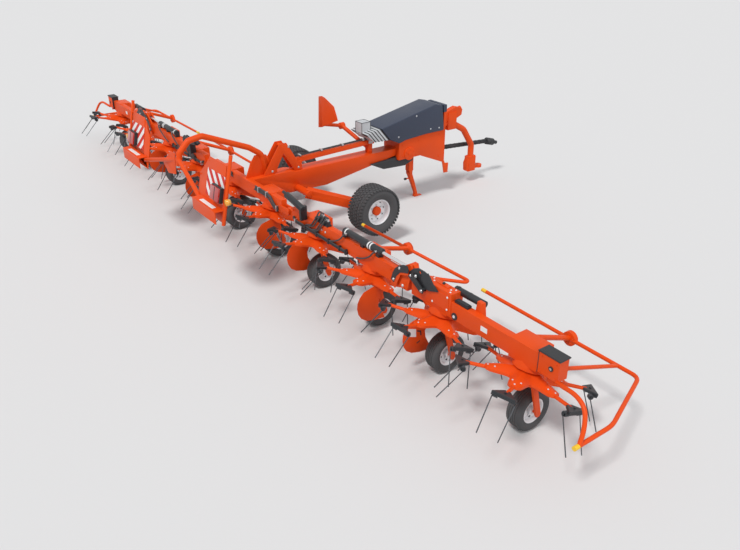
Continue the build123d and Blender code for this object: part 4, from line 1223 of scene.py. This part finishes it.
def chassis_side_into(shape, side):
    """One side: a bolted hub, bolts, hoses with their clamps, and the bolts of the gear boxes."""
    way = (side, 0, 0)
    hub = (side * SIDE_HUB[0], *SIDE_HUB[1:])
    ring_of_bolts(shape, hub, way, *SIDE_HUB_BOLTS)
    pin(shape, hub, way, 8, 0.03, "paint")
    for y, z in HEADSTOCK_BOLTS:
        shape.bolt(at(side * HEADSTOCK_SIDE, y, z), way, FLANGE_BOLT, "paint")
    for y, z in COVER_BOLTS:
        shape.bolt(at(side * COVER_SIDE, y, z), way, FLANGE_BOLT, "grey")
    for y, z in MAST_BOLTS:
        shape.bolt(at(side * MAST_SIDE, y, z), way, HEAVY_BOLT, "zinc")
    for hose in (UPPER_HOSE, LOWER_HOSE):
        pipe(shape, [(side * x, y, z) for x, y, z in hose], HOSE_RADIUS, "rubber")
    for x, z in HOSE_CLAMPS:
        near, far = sorted((side * (x - 10), side * (x + 10)))
        box(shape, (near, -112, z - 36), (far, BEAM_REAR, z + 36), "zinc", 2)
    for x in CENTRE_GEAR_BOLTS_X:
        for y in GEAR_BOX_ROWS:
            shape.bolt(at(side * x, y, GEAR_BOX_TOP), UP, BOLT, "paint")


middle = Shape()
cover_stripes_into(middle)
pale_box_into(middle)
upper_tube_into(middle)
drawbar_into(middle)
drive_shaft_into(middle)
for side in (-1, 1):
    chassis_side_into(middle, side)
put(middle.mesh("trim_chassis"), "trim_chassis", "chassis")


# Trim of the warning panels: stripes, frames of the lamps and a blank plate

PANEL_WAY = (0, -0.978, 0.2086)
PANEL = facing(at(0, -1060, 1000), PANEL_WAY, ACROSS) @ Matrix.Scale(MM, 4)
BOARD = rectangle(953.5, 217.5, 1376.5, 515)
BOARD_FACE = 8.5
WHITE_FACE = 9.1
RED_FACE = 9.6
BAR_WIDTH = 54
BAR_COUNT = 5
SLANT = math.sqrt(0.5)
LAMP_FRAME = rectangle(1162, 227, 1378, 393)
LAMP_FRAME_TOP = 52
LAMP_BAR = rectangle(1262, 235, 1278, 385)
LAMP_BAR_TOP = 69.2
PANEL_FACE = 2.5
PANEL_BOLTS = ((775, 40), (1400, 40), (1400, 620), (775, 390), (960, 590))
BLANK_PLATE = rectangle(960, -1112, 1290, -1062)
BLANK_PLATE_FOOT = 1160

panel = Shape()
panel.slab(BOARD, PANEL, BOARD_FACE, WHITE_FACE, "white", 0.2)
start = sum(BOARD[0]) / math.sqrt(2)
for step in range(BAR_COUNT):
    low_edge = start + 2 * step * BAR_WIDTH
    stripe = band(BOARD, SLANT, SLANT, low_edge, low_edge + BAR_WIDTH)
    if len(stripe) > 2:
        panel.slab(stripe, PANEL, WHITE_FACE, RED_FACE, "red", 0.1)
panel.slab(LAMP_FRAME, PANEL, BOARD_FACE, LAMP_FRAME_TOP, "plastic", 3)
panel.slab(LAMP_BAR, PANEL, LAMP_FRAME_TOP, LAMP_BAR_TOP, "plastic", 0.4)
for x, y in PANEL_BOLTS:
    panel.bolt(PANEL @ Vector((x, y, PANEL_FACE)), PANEL_WAY, FLANGE_BOLT, "paint")
plate(panel, BLANK_PLATE, FLAT, BLANK_PLATE_FOOT, WHITE_THICKNESS, "white", 0.3)
put(panel.mesh("trim_panel_right"), "trim_panel_right", "chassis")
put(panel.mirrored().mesh("trim_panel_left"), "trim_panel_left", "chassis")


# Trim of the parking stand: its handle and knob

HANDLE_Z = 322

knob = Shape()
pipe(knob, [(0, 2690, HANDLE_Z), (0, 2618, HANDLE_Z)], 0.011, "paint")
pin(knob, (0, 2622, HANDLE_Z), REAR, 34, 0.018, "plastic")
put(knob.mesh("trim_stand"), "trim_stand", "stand")
